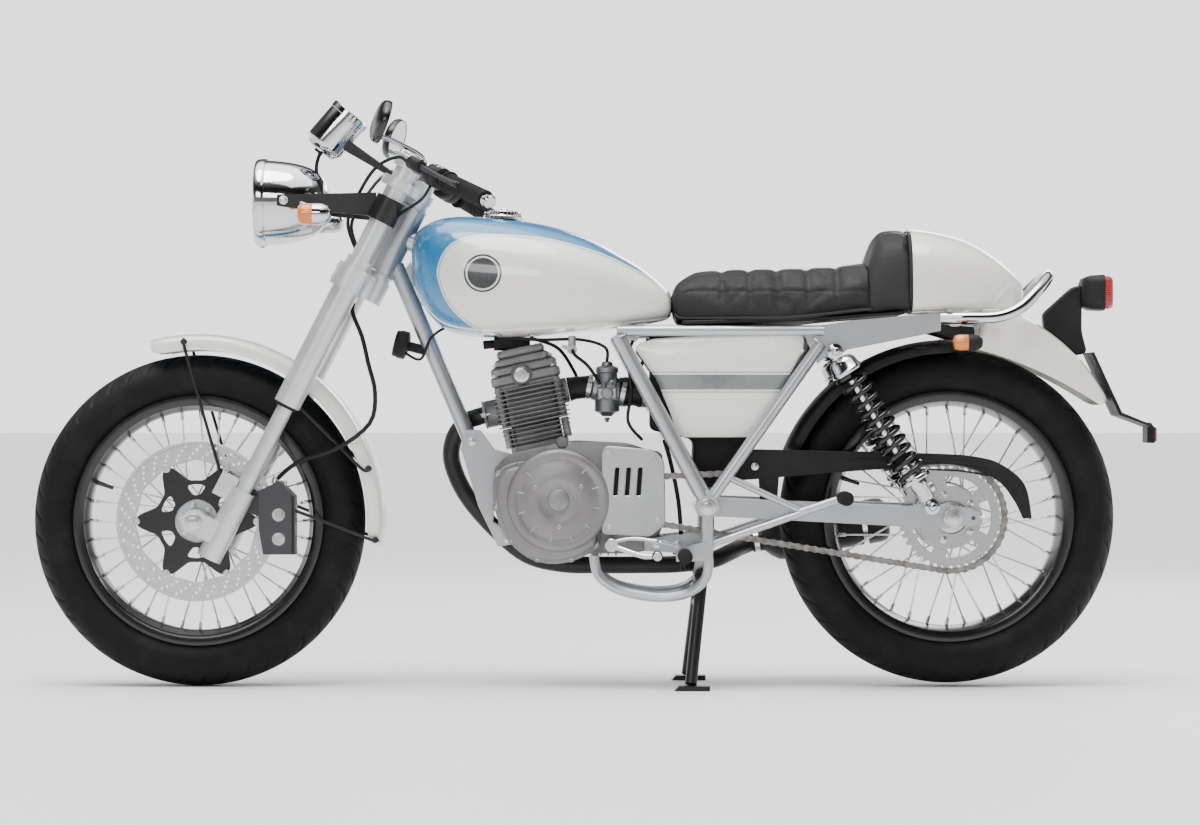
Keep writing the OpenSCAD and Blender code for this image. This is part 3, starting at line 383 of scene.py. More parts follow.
class Paint:                                    # a material, built around one surface shader
    def __init__(self, name, fixed):
        self.material = bpy.data.materials.new(name)
        self.material.use_nodes = True
        self.tree = self.material.node_tree
        self.shader = next(n for n in self.tree.nodes if n.type == "BSDF_PRINCIPLED")
        for key, value in fixed.items():
            self.shader.inputs[key].default_value = value

    def node(self, kind, settings=None, inputs=None, output=0):
        made = self.tree.nodes.new(kind)
        for key, value in (settings or {}).items():
            if key == "stops":
                ramp = made.color_ramp
                for i, (place, colour) in enumerate(value):
                    stop = ramp.elements[i] if i < 2 else ramp.elements.new(place)
                    stop.position, stop.color = place, colour
            else:
                setattr(made, key, value)
        for key, value in (inputs or {}).items():
            if isinstance(value, Value):
                self.tree.links.new(value.socket, made.inputs[key])
            else:
                made.inputs[key].default_value = value
        return Value(self, made.outputs[output])

    def feed(self, key, value):
        self.tree.links.new(value.socket, self.shader.inputs[key])

    def place(self, stretch=(1, 1, 1)):
        at = self.node("ShaderNodeTexCoord", output="Object")
        if stretch == (1, 1, 1):
            return at
        return self.node("ShaderNodeVectorMath", {"operation": "MULTIPLY"}, {0: at, 1: stretch})

    def axis(self, which):
        return self.node("ShaderNodeSeparateXYZ", inputs={0: self.place()}, output=which)

    def noise(self, scale, detail=3.0, rough=0.55, stretch=(1, 1, 1)):
        return self.node("ShaderNodeTexNoise",
            inputs={"Vector": self.place(stretch), "Scale": scale, "Detail": detail,
            "Roughness": rough})

    def cells(self, scale, feature="F1", stretch=(1, 1, 1), output=0):
        return self.node("ShaderNodeTexVoronoi", {"feature": feature},
            {"Vector": self.place(stretch), "Scale": scale}, output)

    def step(self, value, low, high):
        return self.node("ShaderNodeMapRange", {"interpolation_type": "SMOOTHSTEP"},
            {0: value, 1: low, 2: high, 3: 0.0, 4: 1.0})

    def spread(self, value, low, high):         # a value from 0 to 1 moved to low to high
        return self.node("ShaderNodeMapRange", {}, {0: value, 1: 0.25, 2: 0.75, 3: low, 4: high})

    def edges(self, low=0.52, high=0.6):        # 1 on outer corners, 0 elsewhere
        return self.step(self.node("ShaderNodeNewGeometry", output="Pointiness"), low, high)

    def blend(self, factor, first, second):
        sockets = {0: factor, 6: first, 7: second}
        for key in (6, 7):
            if isinstance(sockets[key], tuple) and len(sockets[key]) == 3:
                sockets[key] = (*sockets[key], 1)
        return self.node("ShaderNodeMix", {"data_type": "RGBA"}, sockets, output=2)

    def bump(self, height, distance, strength=1.0):
        self.feed("Normal", self.node("ShaderNodeBump", {},
            {"Height": height, "Distance": distance, "Strength": strength}))


# A finish with slow colour drift, a painted highlight on outer corners, uneven gloss and a fine
# grain
def variedFinish(name, values):
    paint = Paint(name, values.get("fixed", {}))
    drift = paint.noise(values.get("driftScale", 9), 4)
    colour = paint.blend(paint.step(drift, 0.3, 0.7), values["colour"], values["tint"])
    if "edgeHighlight" in values:
        # outer corners are painted a lighter colour: a painted highlight where edges would catch
        # the light
        edgeHighlightMask = paint.edges(*values.get("wornAt", (0.53, 0.62))) * values.get("edgeHighlightBy", 0.6)
        colour = paint.blend(edgeHighlightMask, colour, values["edgeHighlight"])
    paint.feed("Base Color", colour)
    low, high = values["rough"]
    smudge = paint.noise(28, 5, 0.6)
    paint.feed("Roughness", paint.spread(smudge, low, high))
    grain = paint.noise(values["grainScale"], 3, 0.6)
    if "pits" in values:
        grain = grain + paint.step(paint.cells(values["pits"]), 0.0, 0.5) * 0.7
    paint.bump(grain, values["grainDepth"])
    return paint


finishes = {
    "frameSilver": {"colour": (0.40, 0.41, 0.43), "tint": (0.47, 0.48, 0.50), "rough": (0.30, 0.37),
        "grainScale": 500, "grainDepth": 0.000006,
        "fixed": {"Metallic": 0.75, "Coat Weight": 0.4, "Coat Roughness": 0.12}},
    "forkSilver": {"colour": (0.56, 0.57, 0.585), "tint": (0.64, 0.645, 0.655),
        "rough": (0.30, 0.42), "grainScale": 700, "grainDepth": 0.00005,
        "fixed": {"Metallic": 0.55, "Coat Weight": 0.3, "Coat Roughness": 0.15}},
    "brightChrome": {"colour": (0.54, 0.55, 0.57), "tint": (0.61, 0.615, 0.63),
        "rough": (0.04, 0.12), "grainScale": 60, "grainDepth": 0.00003, "fixed": {"Metallic": 1.0}},
    "castGrey": {"colour": (0.115, 0.11, 0.11), "tint": (0.17, 0.165, 0.165),
        "edgeHighlight": (0.5, 0.5, 0.5), "edgeHighlightBy": 0.45, "rough": (0.42, 0.6), "grainScale": 420,
        "grainDepth": 0.00035, "pits": 500, "fixed": {"Metallic": 0.7}},
    "finGrey": {"colour": (0.075, 0.075, 0.073), "tint": (0.125, 0.122, 0.12),
        "edgeHighlight": (0.52, 0.52, 0.52), "edgeHighlightBy": 0.6, "rough": (0.4, 0.58), "grainScale": 500,
        "grainDepth": 0.00025, "pits": 600, "fixed": {"Metallic": 0.65}},
    "coverGrey": {"colour": (0.19, 0.18, 0.185), "tint": (0.25, 0.24, 0.245),
        "edgeHighlight": (0.6, 0.6, 0.6), "edgeHighlightBy": 0.4, "rough": (0.36, 0.5), "grainScale": 600,
        "grainDepth": 0.0002, "pits": 700, "fixed": {"Metallic": 0.7, "Coat Weight": 0.15,
        "Coat Roughness": 0.3}},
    "coverSilver": {"colour": (0.40, 0.41, 0.415), "tint": (0.47, 0.475, 0.48),
        "rough": (0.32, 0.44), "grainScale": 650, "grainDepth": 0.0001, "fixed": {"Metallic": 0.8}},
    "carbGrey": {"colour": (0.20, 0.215, 0.235), "tint": (0.28, 0.295, 0.31),
        "edgeHighlight": (0.6, 0.6, 0.6), "rough": (0.34, 0.5), "grainScale": 500, "grainDepth": 0.0002,
        "fixed": {"Metallic": 0.8}},
    "blackPlastic": {"colour": (0.006, 0.006, 0.007), "tint": (0.012, 0.012, 0.013),
        "rough": (0.42, 0.58), "grainScale": 1100, "grainDepth": 0.00025, "pits": 1300,
        "fixed": {"Specular IOR Level": 0.22}},
    "glossBlack": {"colour": (0.005, 0.005, 0.006), "tint": (0.009, 0.009, 0.01),
        "rough": (0.14, 0.26), "grainScale": 120, "grainDepth": 0.00004,
        "fixed": {"Specular IOR Level": 0.5}},
    "blackEnamel": {"colour": (0.007, 0.007, 0.008), "tint": (0.013, 0.013, 0.014),
        "rough": (0.28, 0.42), "grainScale": 380, "grainDepth": 0.00008,
        "fixed": {"Specular IOR Level": 0.35}},
    "heatBlack": {"colour": (0.007, 0.007, 0.007), "tint": (0.016, 0.015, 0.014),
        "rough": (0.36, 0.56), "grainScale": 800, "grainDepth": 0.00015,
        "fixed": {"Specular IOR Level": 0.35}},
    "gripRubber": {"colour": (0.006, 0.006, 0.006), "tint": (0.013, 0.013, 0.0125),
        "rough": (0.6, 0.78), "grainScale": 900, "grainDepth": 0.0002,
        "fixed": {"Specular IOR Level": 0.2}},
    "cableRubber": {"colour": (0.005, 0.005, 0.005), "tint": (0.01, 0.01, 0.01),
        "rough": (0.36, 0.52), "grainScale": 500, "grainDepth": 0.0001,
        "fixed": {"Specular IOR Level": 0.25}},
    "chainSteel": {"colour": (0.16, 0.145, 0.12), "tint": (0.32, 0.30, 0.27), "driftScale": 90,
        "rough": (0.3, 0.5), "grainScale": 400, "grainDepth": 0.0001, "fixed": {"Metallic": 0.95}},
    "spokeSteel": {"colour": (0.66, 0.67, 0.68), "tint": (0.78, 0.78, 0.79), "rough": (0.16, 0.3),
        "grainScale": 300, "grainDepth": 0.00003, "fixed": {"Metallic": 1.0}},
    "hubAlloy": {"colour": (0.42, 0.43, 0.44), "tint": (0.52, 0.53, 0.54), "rough": (0.28, 0.42),
        "grainScale": 500, "grainDepth": 0.00012, "fixed": {"Metallic": 0.9}},
    "boltSteel": {"colour": (0.5, 0.5, 0.5), "tint": (0.66, 0.66, 0.66), "rough": (0.22, 0.36),
        "driftScale": 60, "grainScale": 400, "grainDepth": 0.00006, "fixed": {"Metallic": 0.95}},
    "darkFace": {"colour": (0.01, 0.01, 0.011), "tint": (0.016, 0.016, 0.017), "rough": (0.3, 0.4),
        "grainScale": 900, "grainDepth": 0.00005},
    "whiteMark": {"colour": (0.8, 0.8, 0.78), "tint": (0.84, 0.84, 0.82), "rough": (0.4, 0.5),
        "grainScale": 500, "grainDepth": 0.00003},
}
finish = {name: variedFinish(name, values).material for name, values in finishes.items()}


# Clear coloured plastic lens, ribbed inside
def lensFinish(name, colour, glow):
    paint = Paint(name, {"Roughness": 0.08, "Coat Weight": 0.8, "Coat Roughness": 0.03, "IOR": 1.5,
        "Transmission Weight": 0.35})
    cloud = paint.noise(40, 3)
    paint.feed("Base Color", paint.blend(paint.step(cloud, 0.35, 0.65), colour,
        tuple(c * 0.8 for c in colour)))
    # faint emission: a painted glow standing in for light caught inside the plastic of an unlit
    # lens, also used on the reflector
    paint.feed("Emission Color", paint.blend(cloud, colour, glow))
    paint.shader.inputs["Emission Strength"].default_value = 0.12
    ribs = paint.node("ShaderNodeTexWave", {"wave_type": "BANDS", "bands_direction": "Z"},
        {"Vector": paint.place(), "Scale": 90.0})
    paint.bump(ribs, 0.0006)
    return paint.material


finish["amberLens"] = lensFinish("amberLens", (0.9, 0.24, 0.01), (1.0, 0.4, 0.02))
finish["redLens"] = lensFinish("redLens", (0.45, 0.005, 0.008), (0.5, 0.01, 0.01))


def glassFinish():
    paint = Paint("lampGlass", {"Base Color": (0.97, 0.98, 1, 1), "IOR": 1.45,
        "Transmission Weight": 1.0})
    smudge = paint.noise(30, 4)
    paint.feed("Roughness", paint.spread(smudge, 0.0, 0.05))
    flutes = paint.node("ShaderNodeTexWave", {"wave_type": "BANDS", "bands_direction": "Y",
        "wave_profile": "SIN"}, {"Vector": paint.place(), "Scale": 22.0})
    paint.bump(flutes, 0.0006, 0.6)
    return paint.material


finish["lampGlass"] = glassFinish()


def mirrorFinish():
    paint = Paint("mirrorGlass", {"Metallic": 1.0, "Base Color": (0.86, 0.88, 0.9, 1)})
    paint.feed("Roughness", paint.spread(paint.noise(25, 4), 0.01, 0.05))
    return paint.material


finish["mirrorGlass"] = mirrorFinish()

bodyColours = {"cream": (0.82, 0.805, 0.75), "creamShade": (0.785, 0.77, 0.71),
    "blue": (0.022, 0.20, 0.42), "blueDeep": (0.02, 0.185, 0.39), "line": (0.30, 0.33, 0.35),
    "band": (0.15, 0.16, 0.16), "badge": (0.035, 0.038, 0.04), "badgeRing": (0.7, 0.7, 0.68)}


# Lacquered body colour: "panels" gets the paint and its cream, and gives back the finished colour
def lacquer(name, panels=None):
    paint = Paint(name, {"Coat Weight": 1.0, "Coat Roughness": 0.03, "Specular IOR Level": 0.5})
    drift = paint.step(paint.noise(5, 3), 0.3, 0.7)
    cream = paint.blend(drift, bodyColours["cream"], bodyColours["creamShade"])
    paint.feed("Base Color", panels(paint, cream) if panels else cream)
    paint.feed("Roughness", paint.spread(paint.noise(30, 5), 0.2, 0.34))
    paint.bump(paint.noise(260, 2), 0.00006)    # orange peel
    return paint.material


badge = {"x": 0.2026, "z": 0.7534, "radius": 0.0345, "ring": 0.0295, "ringWidth": 0.0016}


def tankPanels(paint, cream):
    inside = paint.node("ShaderNodeAttribute", {"attribute_name": "panel"}, output="Fac")
    drift = paint.step(paint.noise(6, 3), 0.3, 0.7)
    blue = paint.blend(drift, bodyColours["blue"], bodyColours["blueDeep"])
    colour = paint.blend(paint.step(inside, -0.0004, 0.0004), blue, cream)
    lineMask = paint.step(abs(inside - 0.0035), 0.0016, 0.0010)
    colour = paint.blend(lineMask * 0.75, colour, bodyColours["line"])
    dx, dz = paint.axis("X") - badge["x"], paint.axis("Z") - badge["z"]
    away = (dx * dx + dz * dz) ** 0.5
    colour = paint.blend(paint.step(away, badge["radius"] + 0.0003, badge["radius"] - 0.0003),
        colour, bodyColours["badge"])
    ringMask = paint.step(abs(away - badge["ring"]), badge["ringWidth"] + 0.0003,
        badge["ringWidth"] - 0.0003)
    return paint.blend(ringMask, colour, bodyColours["badgeRing"])


coverBand = {"low": 0.5435, "high": 0.5705, "lineGap": 0.0045, "line": 0.0009}


def coverPanels(paint, cream):
    z = paint.axis("Z")
    middle, half = (coverBand["low"] + coverBand["high"]) / 2, (coverBand["high"]
        - coverBand["low"]) / 2
    away = abs(z - middle)
    drift = paint.step(paint.noise(14, 3), 0.3, 0.7)
    band = paint.blend(drift, bodyColours["band"], (0.18, 0.19, 0.19))
    colour = paint.blend(paint.step(away, half + 0.0003, half - 0.0003), cream, band)
    lineMask = paint.step(abs(away - half - coverBand["lineGap"]), coverBand["line"] + 0.0003,
        coverBand["line"])
    return paint.blend(lineMask, colour, bodyColours["line"])


def guardStripe(paint, cream):
    away = abs(paint.axis("Y"))
    stripe = paint.blend(paint.step(paint.noise(6, 3), 0.3, 0.7), bodyColours["blue"],
        bodyColours["blueDeep"])
    colour = paint.blend(paint.step(away, 0.0215, 0.0208), cream, stripe)
    return paint.blend(paint.step(abs(away - 0.0245), 0.0012, 0.0008) * 0.8, colour,
        bodyColours["line"])


finish["creamPaint"] = lacquer("creamPaint")
finish["tankPaint"] = lacquer("tankPaint", tankPanels)
finish["coverPaint"] = lacquer("coverPaint", coverPanels)
finish["guardPaint"] = lacquer("guardPaint", guardStripe)


def vinylFinish(name, colour, tint, scale):
    paint = Paint(name, {"Specular IOR Level": 0.3})
    drift = paint.step(paint.noise(12, 4), 0.3, 0.7)
    grain = paint.cells(scale, "DISTANCE_TO_EDGE", output="Distance")
    lift = paint.step(grain, 0.0, 0.18)
    dark = paint.blend(drift, colour, tint)
    # the grain's creases get 0.7 of the colour: painted shade in the hollows of the grain
    paint.feed("Base Color", paint.blend(lift, tuple(c * 0.7 for c in colour), dark))
    paint.feed("Roughness", paint.spread(paint.noise(24, 5), 0.38, 0.56))
    paint.bump(lift + paint.noise(scale * 2, 3) * 0.4, 0.00035)
    return paint.material


finish["seatVinyl"] = vinylFinish("seatVinyl", (0.007, 0.007, 0.0072), (0.012, 0.012, 0.0125), 420)
finish["humpVinyl"] = vinylFinish("humpVinyl", (0.016, 0.016, 0.0165), (0.024, 0.024, 0.0245), 520)


def tyreFinish():
    paint = Paint("tyreRubber", {"Specular IOR Level": 0.14})
    dust = paint.step(paint.noise(14, 5), 0.45, 0.75)
    paint.feed("Base Color", paint.blend(dust * 0.5, (0.0055, 0.0055, 0.006),
        (0.017, 0.0165, 0.016)))
    paint.feed("Roughness", paint.spread(paint.noise(40, 5), 0.5, 0.72))
    paint.bump(paint.noise(700, 4) + paint.noise(120, 3) * 0.6, 0.00025)
    return paint.material


finish["tyreRubber"] = tyreFinish()


# Brushed round the axle, so the grain needs the distance from it
def turnedFinish(name, centre, colour, tint):
    paint = Paint(name, {"Metallic": 1.0})
    dx, dz = paint.axis("X") - centre.x * mm, paint.axis("Z") - centre.z * mm
    away = (dx * dx + dz * dz) ** 0.5
    lines = paint.node("ShaderNodeTexNoise", {"noise_dimensions": "1D"},
        {"W": away, "Scale": 2600.0, "Detail": 2.0})
    wide = paint.node("ShaderNodeTexNoise", {"noise_dimensions": "1D"},
        {"W": away, "Scale": 240.0, "Detail": 2.0})
    paint.feed("Base Color", paint.blend(wide, colour, tint))
    paint.feed("Roughness", paint.spread(wide * 0.5 + paint.noise(30, 4) * 0.5, 0.22, 0.38))
    paint.bump(lines, 0.00004)
    return paint.material


finish["frontDiscSteel"] = turnedFinish("frontDiscSteel", frontAxle, (0.50, 0.51, 0.52),
    (0.62, 0.625, 0.63))
finish["sprocketSteel"] = turnedFinish("sprocketSteel", rearAxle, (0.40, 0.40, 0.41),
    (0.53, 0.53, 0.53))
print("materials ready")


# Camera, light and floor
studio = {
    "distance": 6.5, "lens": 105.9, "eyeHeight": 0.502, "sideways": -0.009, "floorSize": 160.0,
    "sky": ((0, 1.0), (0.58, 1.0), (0.63, 0.3), (0.7, 0.05), (0.8, 0.05), (0.88, 0.6), (1, 1.0)),
    "skyTurn": (-0.15, 0.75, 2.1, 0.26),
    "sunPower": 3.3, "sunSpread": 40, "sunAim": (-0.12, -0.26, -1.0),
}
areaLights = {
    "overhead": {"place": (0.2, 0.2, 3.4), "aim": (0, 0, 0.4), "size": (4.2, 2.6), "power": 80},
    "nearSide": {"place": (1.3, 4.2, 2.3), "aim": (0, 0, 0.5), "size": (3.0, 0.9), "power": 60},
    "farSide": {"place": (-1.8, -4.0, 2.3), "aim": (0, 0, 0.5), "size": (3.0, 0.9), "power": 60},
}


def setStage():
    scene = bpy.context.scene
    camera = bpy.data.cameras.new("camera")
    camera.lens, camera.sensor_width = studio["lens"], 36
    holder = bpy.data.objects.new("camera", camera)
    holder.location = (studio["sideways"], studio["distance"], studio["eyeHeight"])
    holder.rotation_euler = (math.radians(90), 0, math.radians(180))
    scene.collection.objects.link(holder)
    scene.camera = holder

    floorPaint = Paint("studioFloor", {"Roughness": 0.55})
    floorPaint.feed("Base Color", floorPaint.blend(floorPaint.noise(3, 4), (0.86, 0.86, 0.86),
        (0.9, 0.9, 0.9)))
    half = studio["floorSize"] / 2
    mesh = bpy.data.meshes.new("studioFloor")
    work = bmesh.new()
    bmesh.ops.create_grid(work, x_segments=4, y_segments=4, size=half)
    work.to_mesh(mesh)
    work.free()
    floor = bpy.data.objects.new("studioFloor", mesh)
    floor.data.materials.append(floorPaint.material)
    scene.collection.objects.link(floor)

    world = bpy.data.worlds.new("studio")
    world.use_nodes = True
    tree = world.node_tree
    back = next(n for n in tree.nodes if n.type == "BACKGROUND")
    at = tree.nodes.new("ShaderNodeTexCoord")
    parts = tree.nodes.new("ShaderNodeSeparateXYZ")
    ramp = tree.nodes.new("ShaderNodeValToRGB")
    for i, (height, grey) in enumerate(studio["sky"]):
        stop = ramp.color_ramp.elements[i] if i < 2 else ramp.color_ramp.elements.new(height)
        stop.position, stop.color = height, (grey, grey, grey * 1.01, 1)
    shift = tree.nodes.new("ShaderNodeMath")
    shift.operation = "MULTIPLY_ADD"
    shift.inputs[1].default_value, shift.inputs[2].default_value = 0.5, 0.5
    tree.links.new(at.outputs["Generated"], parts.inputs[0])
    tree.links.new(parts.outputs["Z"], shift.inputs[0])
    tree.links.new(shift.outputs[0], ramp.inputs[0])
    tree.links.new(ramp.outputs[0], back.inputs[0])
    dim = tree.nodes.new("ShaderNodeMapRange")     # the side the camera stands on is a darker room
    dim.interpolation_type = "SMOOTHSTEP"
    for i, value in enumerate(studio["skyTurn"]):
        dim.inputs[i + 1].default_value = value
    tree.links.new(parts.outputs["Y"], dim.inputs[0])
    tree.links.new(dim.outputs[0], back.inputs[1])
    scene.world = world

    for name, facts in areaLights.items():
        lamp = bpy.data.lights.new(name, "AREA")
        lamp.shape, lamp.energy = "RECTANGLE", facts["power"]
        lamp.size, lamp.size_y = facts["size"]
        light = bpy.data.objects.new(name, lamp)
        light.location = facts["place"]
        aim = Vector(facts["aim"]) - Vector(facts["place"])
        light.rotation_euler = aim.to_track_quat("-Z", "Y").to_euler()
        scene.collection.objects.link(light)
    sun = bpy.data.lights.new("daylight", "SUN")
    sun.energy, sun.angle = studio["sunPower"], math.radians(studio["sunSpread"])
    light = bpy.data.objects.new("daylight", sun)
    light.rotation_euler = Vector(studio["sunAim"]).to_track_quat("-Z", "Y").to_euler()
    scene.collection.objects.link(light)
    print("stage ready")


setStage()


# Wheels
wheels = {"spokes": 36, "spokeRadius": 1.7, "nippleRadius": 3.1, "rimSeat": 216.5, "flange": 13}


def tyreShape(centre, outerR, width, rimW, treadPitch):
    seatR = wheels["rimSeat"] + 0.3
    lip = rimW / 2 - 4.3
    low = seatR + wheels["flange"] + 1
    wide = mix(low, outerR, 0.4)
    half = []                                    # (radius, across, how much tread)
    for k in range(9):
        a = math.radians(90 - k * 90 / 8)
        half.append((wide - (wide - low) * math.sin(a), lip + (width / 2 - lip) * math.cos(a), 0))
    half += [(half[-1][0] + 2, width / 2, 0)]
    count = 30
    for k in range(1, count + 1):
        a = math.radians(k * 90 / count)
        half.append((wide + (outerR - wide) * math.sin(a), width / 2 * math.cos(a),
            min(1, max(0, (k - 9) / 3))))
    for i in (3, 6, 12):                         # raised rings on the side wall
        r, y, t = half[i]
        half[i] = (r, y + 0.7 if y < width / 2 - 1 else y, t)
    right = [(seatR, lip, 0)] + half
    profile = right + [(r, -y, t) for r, y, t in reversed(right[:-1])]
    turns = 600
    rings = []
    for j in range(turns):
        angle = tau * j / turns
        ring = []
        for r, y, tread in profile:
            depth = 0
            if tread:
                across = abs(y) / (width / 2)
                flow = (angle * treadPitch / tau + across * 1.25 + (0.5 if y < 0 else 0)) % 1
                slant = 0.10 < across < 0.86 and flow < 0.13
                groove = slant or across < 0.035
                depth = 3.0 * tread if groove else 0
            r -= depth
            ring.append(around(centre, r, y, angle))
        rings.append(ring)
    return Shape().skin(rings, caps=False, closed=True)


def rimShape(centre, w):
    s, half, wall = wheels["rimSeat"], w / 2, 4
    left = [(s - 15, -11), (s - 13.5, -18), (s - 9.5, -half + 12), (s - 6, -half + 2.5),
        (s - 2, -half + 0.6), (s + 8, -half), (s + 12.2, -half + 0.4), (s + 13, -half + 2),
        (s + 12.2, -half + wall - 0.4), (s, -half + wall), (s - 1, -half + 16), (s - 9, -9)]
    profile = left + [(r, -y) for r, y in reversed(left)]
    shape = Shape().ring(profile, centre, (0, 1, 0), 160)
    valve = around(centre, s - 16, 0, 0.35)
    inward = (centre - valve).normalized()
    shape.tube([valve - inward * 4, valve + inward * 10, valve + inward * 30], [5, 4, 3.2], 12)
    return shape


def spokeShapes(centre, hubR, spread=24):
    wires, nipples = Shape(), Shape()
    perSide = wheels["spokes"] // 2
    rimR = wheels["rimSeat"] - 15.3
    for side in (-1, 1):
        for i in range(perSide):
            lead = 1 if i % 2 == 0 else -1
            atRim = tau * (i + (0.5 if side > 0 else 0)) / perSide
            atHub = atRim + lead * math.radians(spread)
            yHub = side * (hubY - 5 - lead * 3.2)
            start = centre + vec((hubR + 0.9) * math.cos(atHub), yHub,
                -(hubR + 0.9) * math.sin(atHub))
            end = centre + vec(rimR * math.cos(atRim), side * 5, -rimR * math.sin(atRim))
            wires.tube([start, end], wheels["spokeRadius"], 10)
            along = (end - start).normalized()
            nipples.lathe([(1.9, 0), (wheels["nippleRadius"], 1.5), (wheels["nippleRadius"], 13),
                (2.6, 15)], end - along * 14, along, 8)
    return wires, nipples


def frontHub():
    c = frontAxle
    shape = Shape().lathe([(9, -hubY - 21), (20, -hubY - 21), (22, -hubY - 19), (22, -hubY - 3),
        (36, -hubY - 1), (42, -hubY + 1), (42, -hubY + 8), (38, -hubY + 10), (24, -hubY + 16),
        (21, 0), (24, hubY - 16), (38, hubY - 10), (42, hubY - 8), (42, hubY - 1), (39, hubY),
        (38, hubY + 4), (33, discY - 8), (38, discY - 3), (38, discY - 0.4), (20, discY - 0.4),
        (20, discY + 6), (9, discY + 6)], c, (0, 1, 0), 96)
    for k in range(6):
        a = tau * k / 6 + 0.3
        shape.bolt(around(c, 29, discY + 5, a), (0, 1, 0), 4.2, 5)
    return shape


def frontDisc():
    c = frontAxle
    outer, inner = 146, 110
    wave = [(c.x + (inner + 1.6 * math.cos(12 * tau * k / 240)) * math.cos(tau * k / 240),
        c.z + (inner + 1.6 * math.cos(12 * tau * k / 240)) * math.sin(tau * k / 240))
        for k in range(240)]
    outlines = [circle(outer, 180, c.x, c.z), wave]
    for k in range(30):
        for row, r in enumerate((116.5, 123.5, 130.5, 137.5)):
            a = tau * k / 30 + row * 0.055
            outlines.append(circle(2.9, 12, c.x + r * math.cos(a), c.z + r * math.sin(a)))
    return cutPlate(outlines, discY + 0.2, 4.6, 0.4)


def discCarrier():
    c = frontAxle
    arms = []
    for k in range(60):
        a = tau * k / 60
        arm = (0.5 + 0.5 * math.cos(6 * a)) ** 2.2
        r = 74 + 37 * arm
        arms.append((c.x + r * math.cos(a), c.z + r * math.sin(a)))
    arms = closedSmooth(arms, 3)
    outlines = [arms, circle(40, 64, c.x, c.z)]
    for k in range(6):
        a = tau * (k + 0.5) / 6
        outlines.append(closedSmooth([(c.x + r * math.cos(a + d), c.z + r * math.sin(a + d))
            for r, d in ((50, -0.16), (66, -0.25), (68, 0), (66, 0.25), (50, 0.16), (47, 0))], 4))
    shape = cutPlate(outlines, discY - 0.4, 6.4, 0.8)
    buttons = Shape()
    for k in range(6):
        a = tau * k / 6
        at = around(c, 110, discY - 1.2, a)
        buttons.lathe([(7, 0), (7, 8), (5.6, 8.6), (5.4, 7.6), (0, 7.6)], at, (0, 1, 0), 24)
    return shape, buttons


def rearHub():
    c = rearAxle
    shape = Shape().lathe([(9, -hubY - 43), (18, -hubY - 43), (20, -hubY - 40), (20, -hubY - 16),
        (56, -hubY - 14), (60, -hubY - 10), (60, -hubY + 8), (57, -hubY + 11), (50, -hubY + 13),
        (49, hubY - 13), (57, hubY - 11), (60, hubY - 8), (60, hubY - 2), (56, hubY),
        (52, hubY + 4), (52, chainY - 9), (49, chainY - 5), (28, chainY - 5), (28, chainY + 4),
        (22, chainY + 6), (9, chainY + 6)], c, (0, 1, 0), 96)
    for k in range(3):                           # cooling fins round the brake drum
        y = -hubY - 6 + k * 7
        shape.ring([(59, y), (62.5, y + 0.6), (62.5, y + 2.4), (59, y + 3)], c, (0, 1, 0), 96)
    return shape


def sprocket():
    c = rearAxle
    teeth, root, tip = 40, 87.5, 94
    edge = []
    for k in range(teeth):
        a = tau * (k + 0.5) / teeth
        step = tau / teeth
        for turn, r in ((-0.5, root), (-0.30, root + 1), (-0.12, tip), (0.12, tip),
                (0.30, root + 1)):
            edge.append((c.x + r * math.cos(a + turn * step), c.z + r * math.sin(a + turn * step)))
    outlines = [edge, circle(31, 48, c.x, c.z)]
    for k in range(5):
        a0, a1 = tau * (k + 0.14) / 5, tau * (k + 0.86) / 5
        arc = [a0 + (a1 - a0) * i / 14 for i in range(15)]
        slot = [(c.x + 74 * math.cos(a), c.z + 74 * math.sin(a)) for a in arc]
        slot += [(c.x + 56 * math.cos(a), c.z + 56 * math.sin(a)) for a in reversed(arc)]
        outlines.append(roundedCorners(slot, 6, 3))
    shape = cutPlate(outlines, chainY - 3.6, 6.4, 0.5)
    bolts = Shape()
    for k in range(5):
        a = tau * k / 5
        bolts.bolt(around(c, 43, chainY + 2.8, a), (0, 1, 0), 5.2, 5)
    return shape, bolts


wheelSizes = {
    "front": {"centre": frontAxle, "radius": frontR, "width": 110, "rim": 74, "hub": 42,
              "tread": 46},
    "rear": {"centre": rearAxle, "radius": rearR, "width": 130, "rim": 98, "hub": 60, "tread": 42},
}


def makeWheels():
    for name, size in wheelSizes.items():
        body = name + "_wheel"
        tyre = tyreShape(size["centre"], size["radius"], size["width"], size["rim"], size["tread"])
        makePiece(name + "Tyre", tyre, "tyreRubber", body, [name + "_tyre"], sharp=50)
        makePiece(name + "Rim", rimShape(size["centre"], size["rim"]), "glossBlack", body,
            [name + "_rim"])
        wires, nipples = spokeShapes(size["centre"], size["hub"])
        makePiece(name + "Spokes", wires, "spokeSteel", body, [name + "_spokes"])
        makePiece(name + "Nipples", nipples, "boltSteel", body)
    makePiece("frontHub", frontHub(), "hubAlloy", "front_wheel", ["front_hub"])
    makePiece("frontDisc", frontDisc(), "frontDiscSteel", "front_wheel", ["front_disc"])
    carrier, buttons = discCarrier()
    makePiece("discCarrier", carrier, "glossBlack", "front_wheel")
    makePiece("discButtons", buttons, "boltSteel", "front_wheel")
    makePiece("rearHub", rearHub(), "hubAlloy", "rear_wheel", ["rear_hub"])
    teeth, bolts = sprocket()
    makePiece("rearSprocket", teeth, "sprocketSteel", "rear_wheel", ["rear_sprocket"])
    makePiece("sprocketBolts", bolts, "boltSteel", "rear_wheel")
    print("wheels ready")


makeWheels()


# Chain
chainFacts = {"frontRadius": 39.0, "rearRadius": 98.0, "links": 102, "plateGap": 4.6, "plate": 1.6,
    "roller": 4.6}


